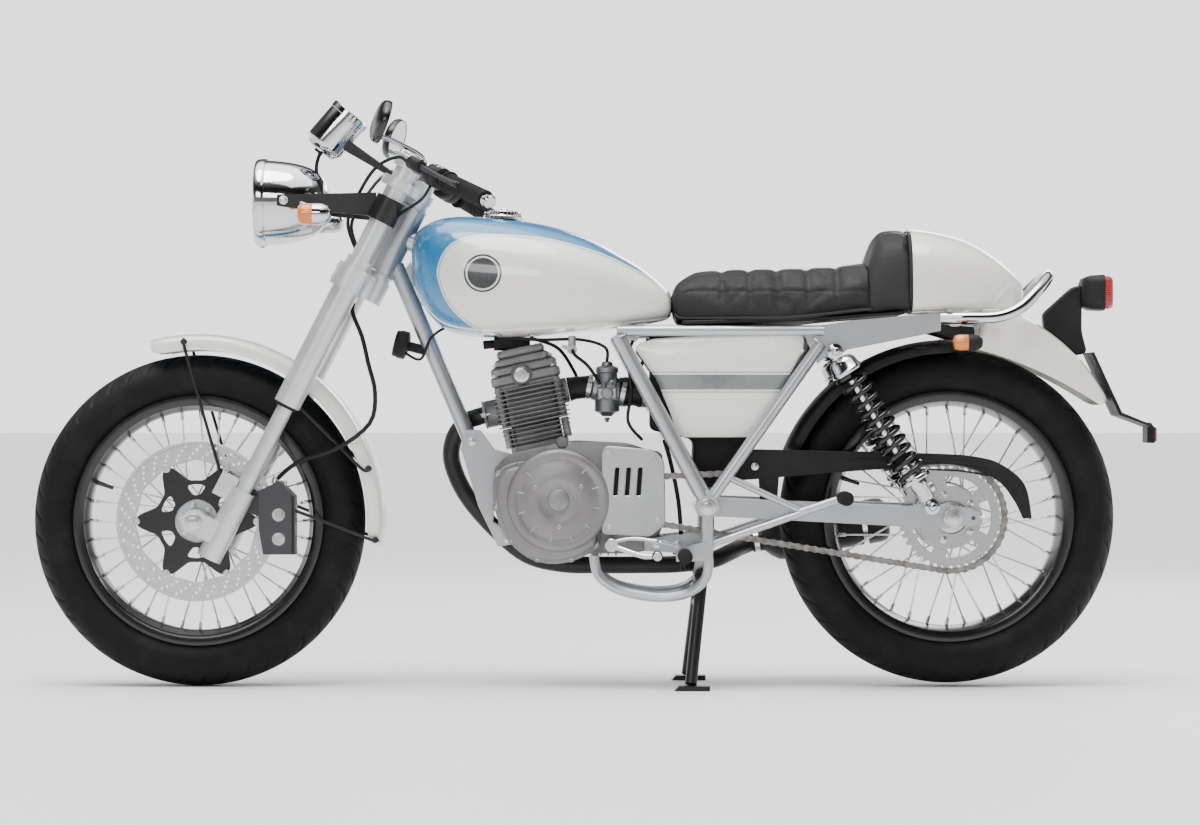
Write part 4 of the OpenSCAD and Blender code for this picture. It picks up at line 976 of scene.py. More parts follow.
def chainPlaces():                               # the pins' places, as (x, z), round both sprockets
    f, r = chainFacts["frontRadius"], chainFacts["rearRadius"]
    cFront, cRear = vec(drive.x, drive.z), vec(rearAxle.x, rearAxle.z)
    d = vec(rearAxle.x - drive.x, rearAxle.z - drive.z)
    gap = d.length
    along = d / gap
    up = vec(along.y, -along.x)
    up = up if up.y > 0 else -up
    tilt = math.asin((r - f) / gap)
    straight = math.sqrt(gap * gap - (r - f) ** 2)
    rearArc, frontArc = (math.pi + 2 * tilt) * r, (math.pi - 2 * tilt) * f
    total = 2 * straight + rearArc + frontArc
    topNormal = up * math.cos(tilt) - along * math.sin(tilt)
    lowNormal = -up * math.cos(tilt) - along * math.sin(tilt)

    def place(s):
        if s < straight:                         # along the top to the rear
            return mix(cFront + topNormal * f, cRear + topNormal * r, s / straight)
        s -= straight
        if s < rearArc:                          # round the rear sprocket
            level = along * math.cos(tilt) + up * math.sin(tilt)
            return cRear + (topNormal * math.cos(s / r) + level * math.sin(s / r)) * r
        s -= rearArc
        if s < straight:                         # back along the bottom
            return mix(cRear + lowNormal * r, cFront + lowNormal * f, s / straight)
        s -= straight
        level = -(along * math.cos(tilt) - up * math.sin(tilt))
        return cFront + (lowNormal * math.cos(s / f) + level * math.sin(s / f)) * f

    n = chainFacts["links"]
    return [place((total * k / n + 4.0) % total) for k in range(n)]


def chainShape():
    shape, pins = Shape(), Shape()
    places = chainPlaces()
    n = len(places)
    for k in range(n):
        a, b = places[k], places[(k + 1) % n]
        along = (b - a).normalized()
        across = vec(-along.y, along.x)
        outline = []
        for centre, sign in ((b, 1), (a, -1)):
            for t in range(5):
                turn = math.radians(-90 + 45 * t)
                out = along * math.cos(turn) + across * math.sin(turn)
                outline.append(centre + out * 6.2 * sign)
        middle = (a + b) / 2
        outline.insert(5, middle + across * 4.4)
        outline.append(middle - across * 4.4)
        gap = chainFacts["plateGap"] + (k % 2) * (chainFacts["plate"] + 0.15)
        for y in (chainY + gap - chainFacts["plate"], chainY - gap):
            shape.plate([tuple(p) for p in outline], y, chainFacts["plate"], 0.25)
        pins.rod((a.x, chainY - 6.4, a.y), (a.x, chainY + 6.4, a.y), 2.2, 8, 0.4)
        pins.rod((a.x, chainY - 3, a.y), (a.x, chainY + 3, a.y), chainFacts["roller"], 12, 0.3)
    return shape.join(pins)


makePiece("chainLoop", chainShape(), "chainSteel", "chassis", ["chain"])
print("chain ready")


# Fuel tank
tank = {"front": 337, "length": 477, "half": 143, "steps": 7, "around": 88,
    "form": (0.42, 2.3, 3.2), "seamAt": 307}
panelEdge = [(-139, 704), (-137.7, 713.3), (-128.6, 729.7), (-103.1, 747.9), (-70.3, 764.2),
    (-30.3, 784.3), (13.4, 799.6), (57.1, 811.6), (100.8, 820), (151.8, 824.4), (195.5, 825),
    (231.9, 820.7), (261, 808), (279.3, 784.3), (286.6, 755.2), (282.2, 733.4), (272, 707.8),
    (253.8, 682.3), (228.3, 660.5), (202.8, 647.8), (173.7, 641.6)]


def tankStations():
    f = tank["front"]
    return [[f, 26, 762, 796], [f - 3, 58, 738, 818], [f - 12, 80, 716, 836],
        [f - 31, 98, 684, 850], [f - 62, 114, 654, 860], [f - 115, 132, 641, 862],
        [f - 190, tank["half"], 640, 856], [f - 262, tank["half"], 645, 843],
        [f - 330, 134, 652, 820], [f - 390, 118, 658, 788], [f - 432, 102, 664, 762],
        [f - 463, 84, 670, 736], [f - 474, 68, 676, 722], [f - tank["length"], 46, 686, 710]]


def distanceToPanel(x, z, edge):
    best = 1e9
    for a, b in zip(edge, edge[1:]):
        dx, dz = b[0] - a[0], b[1] - a[1]
        t = max(0, min(1, ((x - a[0]) * dx + (z - a[1]) * dz) / (dx * dx + dz * dz)))
        best = min(best, math.hypot(x - a[0] - t * dx, z - a[1] - t * dz))
    ring = edge + [(173, 560), (-200, 560), (-200, 704)]
    inside = False
    for a, b in zip(ring, ring[1:] + ring[:1]):
        if (a[1] > z) != (b[1] > z) and x < (b[0] - a[0]) * (z - a[1]) / (b[1] - a[1]) + a[0]:
            inside = not inside
    return best if inside else -best


def makeTank():
    shape = bodyLoft(tankStations(), tank["steps"], *tank["form"], tank["around"])
    piece = makePiece("fuelTank", shape, "tankPaint", "chassis", ["fuel_tank"], sharp=60)
    edge = smoothList([list(p) for p in panelEdge], 5)
    layer = piece.data.attributes.new("panel", "FLOAT", "POINT")
    values = [distanceToPanel(v.co.x / mm, v.co.z / mm, edge) * mm for v in piece.data.vertices]
    layer.data.foreach_set("value", values)
    seam = Shape()
    path = []
    for s in smoothList(tankStations(), 4)[6:-6]:
        path.append(bodyRing(s, *tank["form"], 360)[tank["seamAt"]])
    seam.tube(path, [1.0] + [2.6] * (len(path) - 2) + [1.0], 8)
    makePiece("tankSeam", seam.bothSides(), "creamPaint", "chassis")

    cap = Shape()
    turn = Matrix.Rotation(math.radians(-3), 4, "Y")
    cap.lathe([(37.5, -2), (37.5, 3), (36, 4.6), (33, 5), (32, 3.4), (30.5, 3.4), (30.2, 11),
        (29, 12.6), (26, 13.4), (14, 14.6), (6, 15), (0, 15)], (0, 0, 0), (0, 0, 1), 96)
    cap.box((-4, -19, 13), (4, 19, 16.6), 1)
    cap.lathe([(7, 13), (7, 17), (6, 17.6), (0, 17.6)], (0, 0, 0), (0, 0, 1), 32)
    for k in range(28):
        a = tau * k / 28
        x, y = 30.4 * math.cos(a), 30.4 * math.sin(a)
        cap.rod((x, y, 4), (x, y, 11), 1.1, 8, 0.3)
    hinge = vec(34, 0, 6)
    cap.rod(hinge + vec(0, -8, 0), hinge + vec(0, 8, 0), 3.4, 14)
    cap.turned(Matrix.Translation((168, 0, 859.3)) @ turn)
    makePiece("fuelCap", cap, "brightChrome", "chassis", ["fuel_cap"])

    tap = Shape()                                # fuel tap under the left rear of the tank
    tap.rod((42, 52, 642), (42, 52, 622), 7)
    tap.rod((42, 40, 617), (42, 66, 617), 9)
    tap.plate([(38, 621), (60, 626), (62, 620), (40, 612)], 66, 4)
    makePiece("fuelTap", tap, "hubAlloy", "chassis")
    print("tank ready")


makeTank()


# Seat
seatFacts = {"voxel": 0.006, "pressure": 4.0, "frames": 20, "most": 0.009, "shrink": 5.0,
    "quilt": 3.4, "quiltWidth": 7.5, "humpPressure": 0.7, "humpMost": 0.006, "quality": 5,
    "mass": 0.4, "stiffness": 25, "base": 0.012, "padForm": (0.3, 3.4, 5),
    "humpForm": (0.3, 2.7, 5), "pipingAt": 345}
seatLow = railZ + 10.3
seatSeams = (-232, -281, -332, -387, -440)


def inflate(piece, pressure, frames, most):
    bpy.context.view_layer.objects.active = piece
    for o in bpy.context.selected_objects:
        o.select_set(False)
    piece.select_set(True)
    remesh = piece.modifiers.new("even", "REMESH")
    remesh.mode, remesh.voxel_size = "VOXEL", seatFacts["voxel"]
    bpy.ops.object.modifier_apply(modifier=remesh.name)
    before = [v.co.copy() for v in piece.data.vertices]
    cloth = piece.modifiers.new("fill", "CLOTH")
    cloth.settings.use_pressure = True
    cloth.settings.uniform_pressure_force = pressure
    cloth.settings.quality = seatFacts["quality"]
    cloth.settings.mass = seatFacts["mass"]
    cloth.settings.tension_stiffness = cloth.settings.compression_stiffness = seatFacts["stiffness"]
    cloth.settings.effector_weights.gravity = 0
    pinned = piece.vertex_groups.new(name="base")    # the base board holds the underside
    base = min(v.z for v in before) + seatFacts["base"]
    pinned.add([i for i, p in enumerate(before) if p.z < base], 1.0, "ADD")
    cloth.settings.vertex_group_mass = pinned.name
    cloth.point_cache.frame_start, cloth.point_cache.frame_end = 1, frames
    scene = bpy.context.scene
    for k in range(1, frames + 1):
        scene.frame_set(k)
    done = piece.evaluated_get(bpy.context.evaluated_depsgraph_get())
    after = [v.co.copy() for v in done.data.vertices]
    piece.modifiers.remove(cloth)
    for v, a, b in zip(piece.data.vertices, before, after):
        move = b - a
        v.co = a + (move.normalized() * most if move.length > most else move)
    scene.frame_set(1)


def subdivide(piece):
    bpy.context.view_layer.objects.active = piece
    smooth = piece.modifiers.new("smooth", "SUBSURF")
    smooth.levels = smooth.render_levels = 1
    bpy.ops.object.modifier_apply(modifier=smooth.name)


def makeSeat():
    half, low, shrink = seatHalf, seatLow, seatFacts["shrink"]
    stations = [[-143, half - 44, low + 28, low + 64], [-147, half - 36, low + 8, low + 84],
        [-160, half - 30, low + 1, seatTop - 10], [-200, half - 20, low, seatTop - 4],
        [-270, half - 6, low, seatTop - 1], [-340, half, low, seatTop],
        [-420, half, low + 8, seatTop + 3], [-470, half, low + 14, seatTop + 8],
        [-500, half, low + 16, seatTop + 14]]
    small = [[s[0], s[1] - shrink, s[2], s[3] - shrink] for s in stations]
    shape = bodyLoft(small, 6, *seatFacts["padForm"], 72)
    seat = makePiece("seatPad", shape, "seatVinyl", "chassis", ["seat"], sharp=70)
    back = [[-492, half - 12, low + 17, seatTop + 8], [-497, half - 8, low + 17, seatTop + 26],
        [-505, half - 6, low + 17, seatTop + 48], [-514, half - 5, low + 18, seatTop + 64],
        [-524, half - 4, low + 20, seatTop + 73], [-545, half - 4, low + 22, seatTop + 76],
        [-566, half - 4, low + 22, seatTop + 75], [-573, half - 9, low + 24, seatTop + 70]]
    hump = makePiece("seatHump", bodyLoft(back, 5, *seatFacts["humpForm"], 72), "humpVinyl",
        "chassis", sharp=70)
    inflate(seat, seatFacts["pressure"], seatFacts["frames"], seatFacts["most"])
    inflate(hump, seatFacts["pressure"] * seatFacts["humpPressure"], seatFacts["frames"],
        seatFacts["humpMost"])
    for piece in (seat, hump):
        subdivide(piece)
    for v in seat.data.vertices:                 # sewn channels across the pad and along its sides
        x, y, z = (c / mm for c in v.co)
        over = max(0.0, min(1.0, (z - low - 28) / 22))
        if over == 0:
            continue
        depth = sum(math.exp(-((x - s) / seatFacts["quiltWidth"]) ** 2) for s in seatSeams)
        swell = 0.5 - 0.5 * math.cos(tau * (x - seatSeams[0]) / (seatSeams[0] - seatSeams[1]))
        side = math.exp(-((z - low - 62) / 3.2) ** 2) * (1 if abs(y) > half - 40 else 0)
        inside = 1 if -480 < x < -165 else 0
        v.co.z -= (depth * seatFacts["quilt"] * over * inside - swell * 0.5 * over * inside) * mm
        push = (depth * 1.6 * over * inside + side * 1.6) * mm
        v.co.y -= math.copysign(min(push, abs(v.co.y)), v.co.y) if abs(y) > half - 46 else 0
    for v in hump.data.vertices:                 # two upright channels in the hump
        x, y, z = (c / mm for c in v.co)
        depth = math.exp(-((abs(y) - 46) / 5.0) ** 2)
        if z > low + 60 and x > -560:
            v.co.x -= 2.4 * depth * mm * (1 if x > -525 else 0)
            v.co.z -= (1.6 * depth if x < -515 else 0) * mm
    for piece in (seat, hump):
        dress(piece, piece.data.materials[0], 70)

    piping = Shape()                             # welt along the pad's edge and round the hump
    line = []
    for s in smoothList(stations, 5):
        ring = bodyRing([s[0], s[1] - 1.5, s[2], s[3]], *seatFacts["padForm"], 360)
        line.append(ring[seatFacts["pipingAt"]])
    piping.tube(line[4:], 2.6, 8)
    piping.bothSides()
    ring = bodyRing([-571, half - 5, low + 30, seatTop + 72.5], *seatFacts["humpForm"], 120)
    keep = [(-571.5, p[1] * 1.003, p[2]) for p in ring if p[2] > low + 34]
    keep.sort(key=lambda p: math.atan2(p[2] - 700, p[1]))
    piping.tube(keep, 2.4, 8)
    makePiece("seatPiping", piping, "humpVinyl", "chassis")
    board = Shape()                              # base board under the pad
    board.plate([(-158, low + 1), (-420, low + 9), (-560, low + 20), (-560, low + 25),
        (-420, low + 15), (-158, low + 8)], -half + 12, 2 * half - 24, 1.5)
    makePiece("seatBoard", board, "blackPlastic", "chassis")
    print("seat ready")


makeSeat()


# Tail, side covers and mudguards
def tailCowl():
    half, low, front = seatHalf, railZ + 33.6, rearAxle.x + 71
    stations = [[front, half - 0.5, low - 2, seatTop + 78],
        [front - 42, half - 1, low, seatTop + 73], [front - 101, half - 12, low, seatTop + 58],
        [front - 147, half - 32, low + 1, seatTop + 34],
        [front - 184, half - 58, low + 6, seatTop + 6],
        [front - 204, half - 82, low + 18, seatTop - 15],
        [front - 211, half - 104, low + 34, seatTop - 32]]
    shape = bodyLoft(stations, 10, 0.3, 2.5, 5, 96)
    tabs = Shape()
    for x in (-654, -722):                       # mounting lugs below the cowl's edge
        tabs.plate(roundedCorners([(x + 20, low + 6), (x - 18, low + 6), (x - 10, railZ + 8),
            (x + 12, railZ + 8)], 8), 92, 4)
    bolts = Shape()
    for x in (-653, -721):
        bolts.capBolt((x, 96, railZ + 17), (0, 1, 0), 4.6, 3.4)
    makePiece("tailCowl", shape, "creamPaint", "chassis", ["tail_cowl"], sharp=60)
    makePiece("cowlLugs", tabs.bothSides(), "creamPaint", "chassis")
    makePiece("cowlBolts", bolts.bothSides(), "boltSteel", "chassis")


coverFacts = {"edge": 103, "outline": [(-73, 616), (-78, 626), (-104, 636), (-361, 650),
    (-379, 640), (-377, 616), (-296, 462), (-284, 457), (-156, 457), (-146, 468), (-138, 496),
    (-112, 560)]}


def sideCovers():
    outline = roundedCorners(coverFacts["outline"], 14, 4)
    dense = []
    for a, b in zip(outline, outline[1:] + outline[:1]):
        dense += [mix(vec(a), vec(b), t / 3) for t in range(3)]
    middle = sum(dense, Vector((0, 0))) / len(dense)
    rings = []
    for scale, y in ((0.985, -12), (0.995, -3), (1.0, 0), (0.997, 1.4), (0.988, 2.6), (0.965, 3.8),
            (0.93, 5.6), (0.87, 8.2), (0.78, 10.8), (0.66, 12.8), (0.5, 14.3), (0.32, 15.1),
            (0.15, 15.4), (0.001, 15.5)):
        ring = [mix(middle, q, scale) for q in dense]
        rings.append([(p.x, coverFacts["edge"] + y, p.y) for p in ring])
    shape = Shape().skin(rings, caps=False)
    makePiece("sideCovers", shape.bothSides(), "coverPaint", "chassis", ["side_covers"], sharp=60)


def guardShape(centre, radius, half, skirt, start, end, steps=110, thick=2.0, taper=5.0):
    rings = []
    for i in range(steps + 1):
        degrees = mix(start, end, i / steps)
        a = math.radians(degrees)
        toEnd = min(degrees - start, end - degrees)
        narrow = math.sqrt(max(0.0, 1 - (1 - min(1, toEnd / taper)) ** 2)) * 0.45 + 0.55
        low = skirt(degrees) if callable(skirt) else radius - skirt
        low = mix(radius - 12, low, narrow)
        outer = []
        for k in range(19):
            t = -1 + 2 * k / 18
            bend = t * math.pi / 2
            r = radius - 15 + 15 * abs(math.cos(bend)) ** 0.9
            y = math.copysign(abs(math.sin(bend)) ** 0.72, t)
            outer.append((r, half * narrow * y if t else 0))
        edge = [(low + 2.5, half * narrow), (low, half * narrow - 0.6)]
        profile = [(low, -half * narrow + 0.6), (low + 2.5, -half * narrow)] + outer + edge
        inner = [(low + 0.2, half * narrow - thick - 0.4)]
        inner += [(r - thick, y * (half * narrow - thick) / (half * narrow))
            for r, y in reversed(outer)]
        inner += [(low + 0.2, -half * narrow + thick + 0.4)]
        rings.append([around(centre, r, y, a) for r, y in profile + inner])
    return Shape().skin(rings)


def mudguards():
    front = guardShape(frontAxle, frontR + 39, 62, 30, 74.5, 188)
    lip = Shape()
    for side in (-1, 1):                         # rolled edges
        path = [around(frontAxle, frontR + 9.6, side * 61, math.radians(a))
            for a in range(79, 184, 2)]
        lip.tube(path, 2.0, 8)
    makePiece("frontGuard", front, "guardPaint", "steering", ["front_mudguard"], sharp=50)
    makePiece("frontGuardEdge", lip, "creamPaint", "steering")
    stays = Shape()
    lug = steerPoint(forkU + 40, legY - 13.5, axleS + 86)
    seat = steerPoint(forkU, legY - 26, axleS + 277)
    skirtR = frontR + 14
    for angle, end in ((86, lug), (186, lug), (163, seat)):
        start = around(frontAxle, skirtR, 63, math.radians(angle))
        away = (start - frontAxle).normalized() * 10
        middle = mix(start, end, 0.5) + vec(0, 6, 0)
        stays.tube(smoothPath([start + away * 1.6, start, mix(start, middle, 0.6), middle, end], 5),
            3.0, 10)
        stays.lathe([(6, 0), (6, 3), (4, 4), (0, 4.4)], start + away + vec(0, 1.5, 0), (0, 1, 0),
            16)
    makePiece("frontGuardStays", stays.bothSides(), "blackEnamel", "steering")

    c = rearAxle + vec(23, 0, 49)
    skirtAt, skirtR = rearAxle + vec(135, 0, -396), 725

    def rearSkirt(degrees):
        a = math.radians(degrees)
        u, d = vec(math.cos(a), 0, math.sin(a)), c - skirtAt
        b = d.dot(u)
        reach = -b + math.sqrt(b * b - d.dot(d) + skirtR * skirtR)
        return max(357 - 92, min(reach, 357 - 14))

    rear = guardShape(c, 357, 73, rearSkirt, 104, 153, 80, taper=3.0)
    makePiece("rearGuard", rear, "creamPaint", "chassis", ["rear_mudguard"], sharp=50)
    inner = guardShape(rearAxle, 324, 71, 26, 22, 93, 60)
    for side in (-1, 1):
        inner.box((rearAxle.x + 44, min(side * 66, side * 103), 618),
            (rearAxle.x + 64, max(side * 66, side * 103), 621))
    makePiece("innerGuard", inner, "blackPlastic", "chassis", ["inner_mudguard"], sharp=50)
    print("bodywork ready")


tailCowl()
sideCovers()
mudguards()


# Engine
engine = {"caseHalf": 75, "finThick": 2.2}


def roundedBox(halfX, halfY, radius, steps=5):
    return roundedCorners([(-halfX, -halfY), (halfX, -halfY), (halfX, halfY), (-halfX, halfY)],
        radius, steps)


def boreLayer(shape, outline, z0, z1, edge=0.6):
    rings = []
    for inset, z in ((edge, z0), (0, z0 + edge), (0, z1 - edge), (edge, z1)):
        rings.append([borePoint(p[0] * (1 - inset / 60), p[1] * (1 - inset / 60), z)
            for p in outline])
    shape.skin(rings)


def engineBlock():
    half = engine["caseHalf"]
    case = [(184, 400), (156, 427), (44, 451), (-60, 446), (-108, 430), (-128, 380), (-126, 300),
        (-104, 252), (-60, 245), (90, 245), (132, 270), (172, 308), (186, 350)]
    shape = Shape().plate(roundedCorners(case, 16), -half, half * 2, 3)
    shape.plate(roundedCorners([(150, 300), (176, 312), (178, 300), (160, 284)], 4), -60, 120, 1)
    shape.boss((drive.x, 0, drive.z), 14, half, chainY + 6)
    shape.boss((drive.x, 0, drive.z), 31, chainY - 4, chainY + 4, 48)
    for x, z in ((172, 396), (-112, 420), (-116, 268), (126, 274), (60, 448)):
        shape.boss((x, 0, z), 11, -half - 1.5, half + 1.5, 24, 1.5)
    for k in range(9):                           # cooling ribs under the sump
        x = -40 + k * 14
        shape.plate([(x, 246), (x + 3.4, 246), (x + 3.4, 240.5), (x, 240.5)], -52, 104, 0.8)
    makePiece("crankcase", shape, "castGrey", "chassis", ["crankcase"], sharp=45)


def domedCover(shape, outline, y0, layers, side):
    middle = sum((vec(p) for p in outline), Vector((0, 0))) / len(outline)
    rings = []
    for scale, y in layers:
        ring = [mix(middle, vec(p), scale) for p in outline]
        rings.append([(p.x, side * (y0 + y), p.y) for p in ring])
    shape.skin(rings)


def engineCovers():
    half = engine["caseHalf"]
    outline = closedSmooth([(186, 372), (176, 396), (150, 410), (96, 415), (30, 413), (-2, 404),
        (-9, 380), (-9, 300), (-7, 262), (8, 247), (44, 231), (84, 227), (124, 239), (160, 272),
        (181, 322)], 5)
    shape = Shape()
    domedCover(shape, outline, half, ((1.0, 0), (1.0, 7), (0.985, 8.5), (0.96, 9), (0.955, 10),
        (0.95, 22), (0.935, 28), (0.9, 32), (0.86, 33.5), (0.5, 34)), 1)
    centre = vec(66, 0, 343)
    shape.lathe([(94, 0), (93, 6), (89, 10), (84, 11.5), (78, 11.8), (76, 10.5), (70, 10.5),
        (68, 12), (60, 13), (57, 15), (40, 16), (36, 15.6), (34, 14.2), (20, 14.2), (19, 16.4),
        (17.5, 17.2), (0, 17.2)], centre + vec(0, half + 31, 0), (0, 1, 0), 128)
    for k in range(12):                          # fine ribs round the generator cover
        a = tau * k / 12 + 0.2
        out = vec(math.cos(a), 0, math.sin(a))
        shape.tube([centre + out * 64 + vec(0, half + 42.4, 0),
            centre + out * 88 + vec(0, half + 39.6, 0)], [1.6, 1.2], 8)
    edgeBolts = Shape()
    for x, z in ((175, 388), (138, 404), (60, 407), (0, 396), (0, 340), (0, 262), (44, 238),
            (104, 238), (150, 270), (178, 330)):
        shape.boss((x, 0, z), 8.5, half, half + 11, 20, 1.5)
        edgeBolts.capBolt((x, half + 11, z), (0, 1, 0), 4.4, 3.6)
    for k in range(3):
        a = tau * k / 3 + 0.5
        edgeBolts.capBolt(around(centre, 48, half + 45.6, a), (0, 1, 0), 3.6, 2.4)
    makePiece("generatorCover", shape, "coverGrey", "chassis", ["engine_covers"], sharp=40)

    right = Shape()
    outline = closedSmooth([(180, 380), (150, 405), (60, 420), (-60, 414), (-104, 380), (-113, 312),
        (-82, 263), (-12, 246), (92, 249), (140, 270), (172, 312)], 6)
    domedCover(right, outline, half, ((1.0, 0), (1.0, 8), (0.98, 9.5), (0.955, 10), (0.95, 12),
        (0.94, 30), (0.92, 36), (0.88, 39), (0.8, 40.5), (0.5, 41)), -1)
    right.lathe([(80, 0), (79, 8), (74, 12), (66, 14), (58, 14), (56, 12.6), (20, 12.6), (18, 14),
        (0, 14.4)], (-20, -half - 38, 322), (0, -1, 0), 112)
    right.lathe([(24, 0), (23, 5), (20, 6.5), (9, 7), (8, 8), (0, 8.4)], (96, -half - 38, 372),
        (0, -1, 0), 48)
    right.lathe([(13, 0), (13, 9), (11, 11), (0, 11.5)], (-88, -half - 12, 352), (0, -1, 0), 32)
    for x, z in ((172, 372), (146, 396), (60, 410), (-30, 410), (-94, 378), (-106, 312), (-76, 270),
            (-10, 255), (88, 257), (136, 278), (166, 322)):
        right.boss((x, 0, z), 8.5, -half - 12, -half, 20, 1.5)
        edgeBolts.capBolt((x, -half - 12, z), (0, -1, 0), 4.4, 3.6)
    makePiece("clutchCover", right, "coverGrey", "chassis", sharp=40)

    plate = roundedCorners([(-14, 432), (-22, 440), (-108, 433), (-124, 414), (-126, 300),
        (-100, 279), (-14, 283)], 9)
    slots = []
    for k in range(3):                           # three slanted slots
        x = -46 - k * 21
        slots.append(roundedCorners([(x, 404), (x + 11, 404), (x + 15, 350), (x + 4, 350)], 4.5, 4))
    y = chainY + 8.5
    cover = cutPlate([plate] + slots, y, 19, 1.6)
    rim = [(-14, 432), (-22, 440), (-108, 433), (-110, 427), (-30, 430), (-26, 286), (-14, 283)]
    cover.plate(rim, half + 1, y - half + 1, 0.6)
    makePiece("sprocketCover", cover, "coverSilver", "chassis", sharp=40)
    # black plate inside the cover behind the three slots: painted shade, a dark sheet standing for
    # the shade seen through the slots
    back = Shape().plate([(-34, 410), (-104, 408), (-106, 344), (-30, 344)], y + 2, 4, 0.5)
    makePiece("slotShadePlate", back, "blackPlastic", "chassis")
    for x, z in ((-24, 426), (-106, 420), (-114, 306), (-26, 294)):
        edgeBolts.capBolt((x, y + 18.4, z), (0, 1, 0), 5, 3.4)
    makePiece("coverBolts", edgeBolts, "boltSteel", "chassis")


def cylinderAndHead():
    barrel, head, bolts = Shape(), Shape(), Shape()
    boreLayer(barrel, roundedBox(53, 51, 10), 6, 30, 1.5)
    boreLayer(barrel, roundedBox(45, 45, 14), 28, 66)
    for k in range(4):
        z = 34 + k * 8.4
        boreLayer(barrel, roundedBox(60 + k * 1.5, 56 + k, 15), z, z + engine["finThick"], 0.5)
    boreLayer(head, roundedBox(50, 50, 14), 65, 136)
    for k in range(9):
        z = 66.5 + k * 8.2
        reach = 67 - max(0, k - 5) * 1.4
        boreLayer(head, roundedBox(reach, 63 - max(0, k - 6), 16), z, z + engine["finThick"], 0.5)
    boreLayer(head, roundedBox(60, 52, 12), 134, 142, 1.2)
    boreLayer(head, roundedBox(64, 54, 16), 142, 160, 3)
    boreLayer(head, roundedBox(61, 51, 16), 160, 176, 3)
    boreLayer(head, roundedBox(50, 46, 14), 176, 190, 3)
    boreLayer(head, roundedBox(44, 40, 12), 190, 206, 5)
    side, up, ahead = vec(0, 1, 0), borePoint(0, 0, 1) - boreFoot, borePoint(1, 0, 0) - boreFoot
    head.lathe([(20, 0), (20, 10), (18, 12), (17, 12.4)], borePoint(6, 44, 156), side, 48)
    head.lathe([(24, 0), (24, 8), (22, 10)], borePoint(6, -44, 156), -side, 48)
    for x in (-38, 38):                          # valve covers on top, front and back
        head.lathe([(19, 0), (19, 8), (17, 10)], borePoint(x, 0, 178),
            (up + ahead * (0.7 if x > 0 else -0.7)), 40)
        bolts.lathe([(15.5, 8), (15.5, 13), (14, 14.4), (0, 15)], borePoint(x, 0, 178),
            (up + ahead * (0.7 if x > 0 else -0.7)), 6)
    head.lathe([(25, -14), (25, 12), (24, 14), (17, 14)], borePoint(72, -22, 98), ahead, 48)
    head.lathe([(23, -12), (23, 8), (17, 9)], borePoint(-62, 0, 112), -ahead, 40)
    bolts.lathe([(14, 0), (14, 3), (12.5, 4), (9, 4.4), (0, 4.4)], borePoint(6, 56, 156), side, 40)
    for x, y in ((-54, 46), (54, 46), (-54, -46), (54, -46)):
        bolts.bolt(borePoint(x, y, 160), up, 5, 5)
        boreLayer(barrel, circle(7, 16, x, y), 28, 64, 0.6)
        boreLayer(head, circle(8, 16, x * 0.98, y), 65, 140, 0.8)
    for y in (-1, 1):
        bolts.rod(borePoint(88, -22 + y * 23, 98), borePoint(78, -22 + y * 23, 98), 3.2, 12)
    plug = borePoint(22, -52, 120)
    bolts.lathe([(7, 0), (7, 8), (5, 9), (4.4, 22), (0, 23)], plug, (0.3, -1, 0.5), 6)
    makePiece("cylinderBarrel", barrel, "finGrey", "chassis", ["cylinder_barrel"], sharp=40)
    makePiece("cylinderHead", head, "finGrey", "chassis", ["cylinder_head"], sharp=40)
    makePiece("headBolts", bolts, "boltSteel", "chassis")


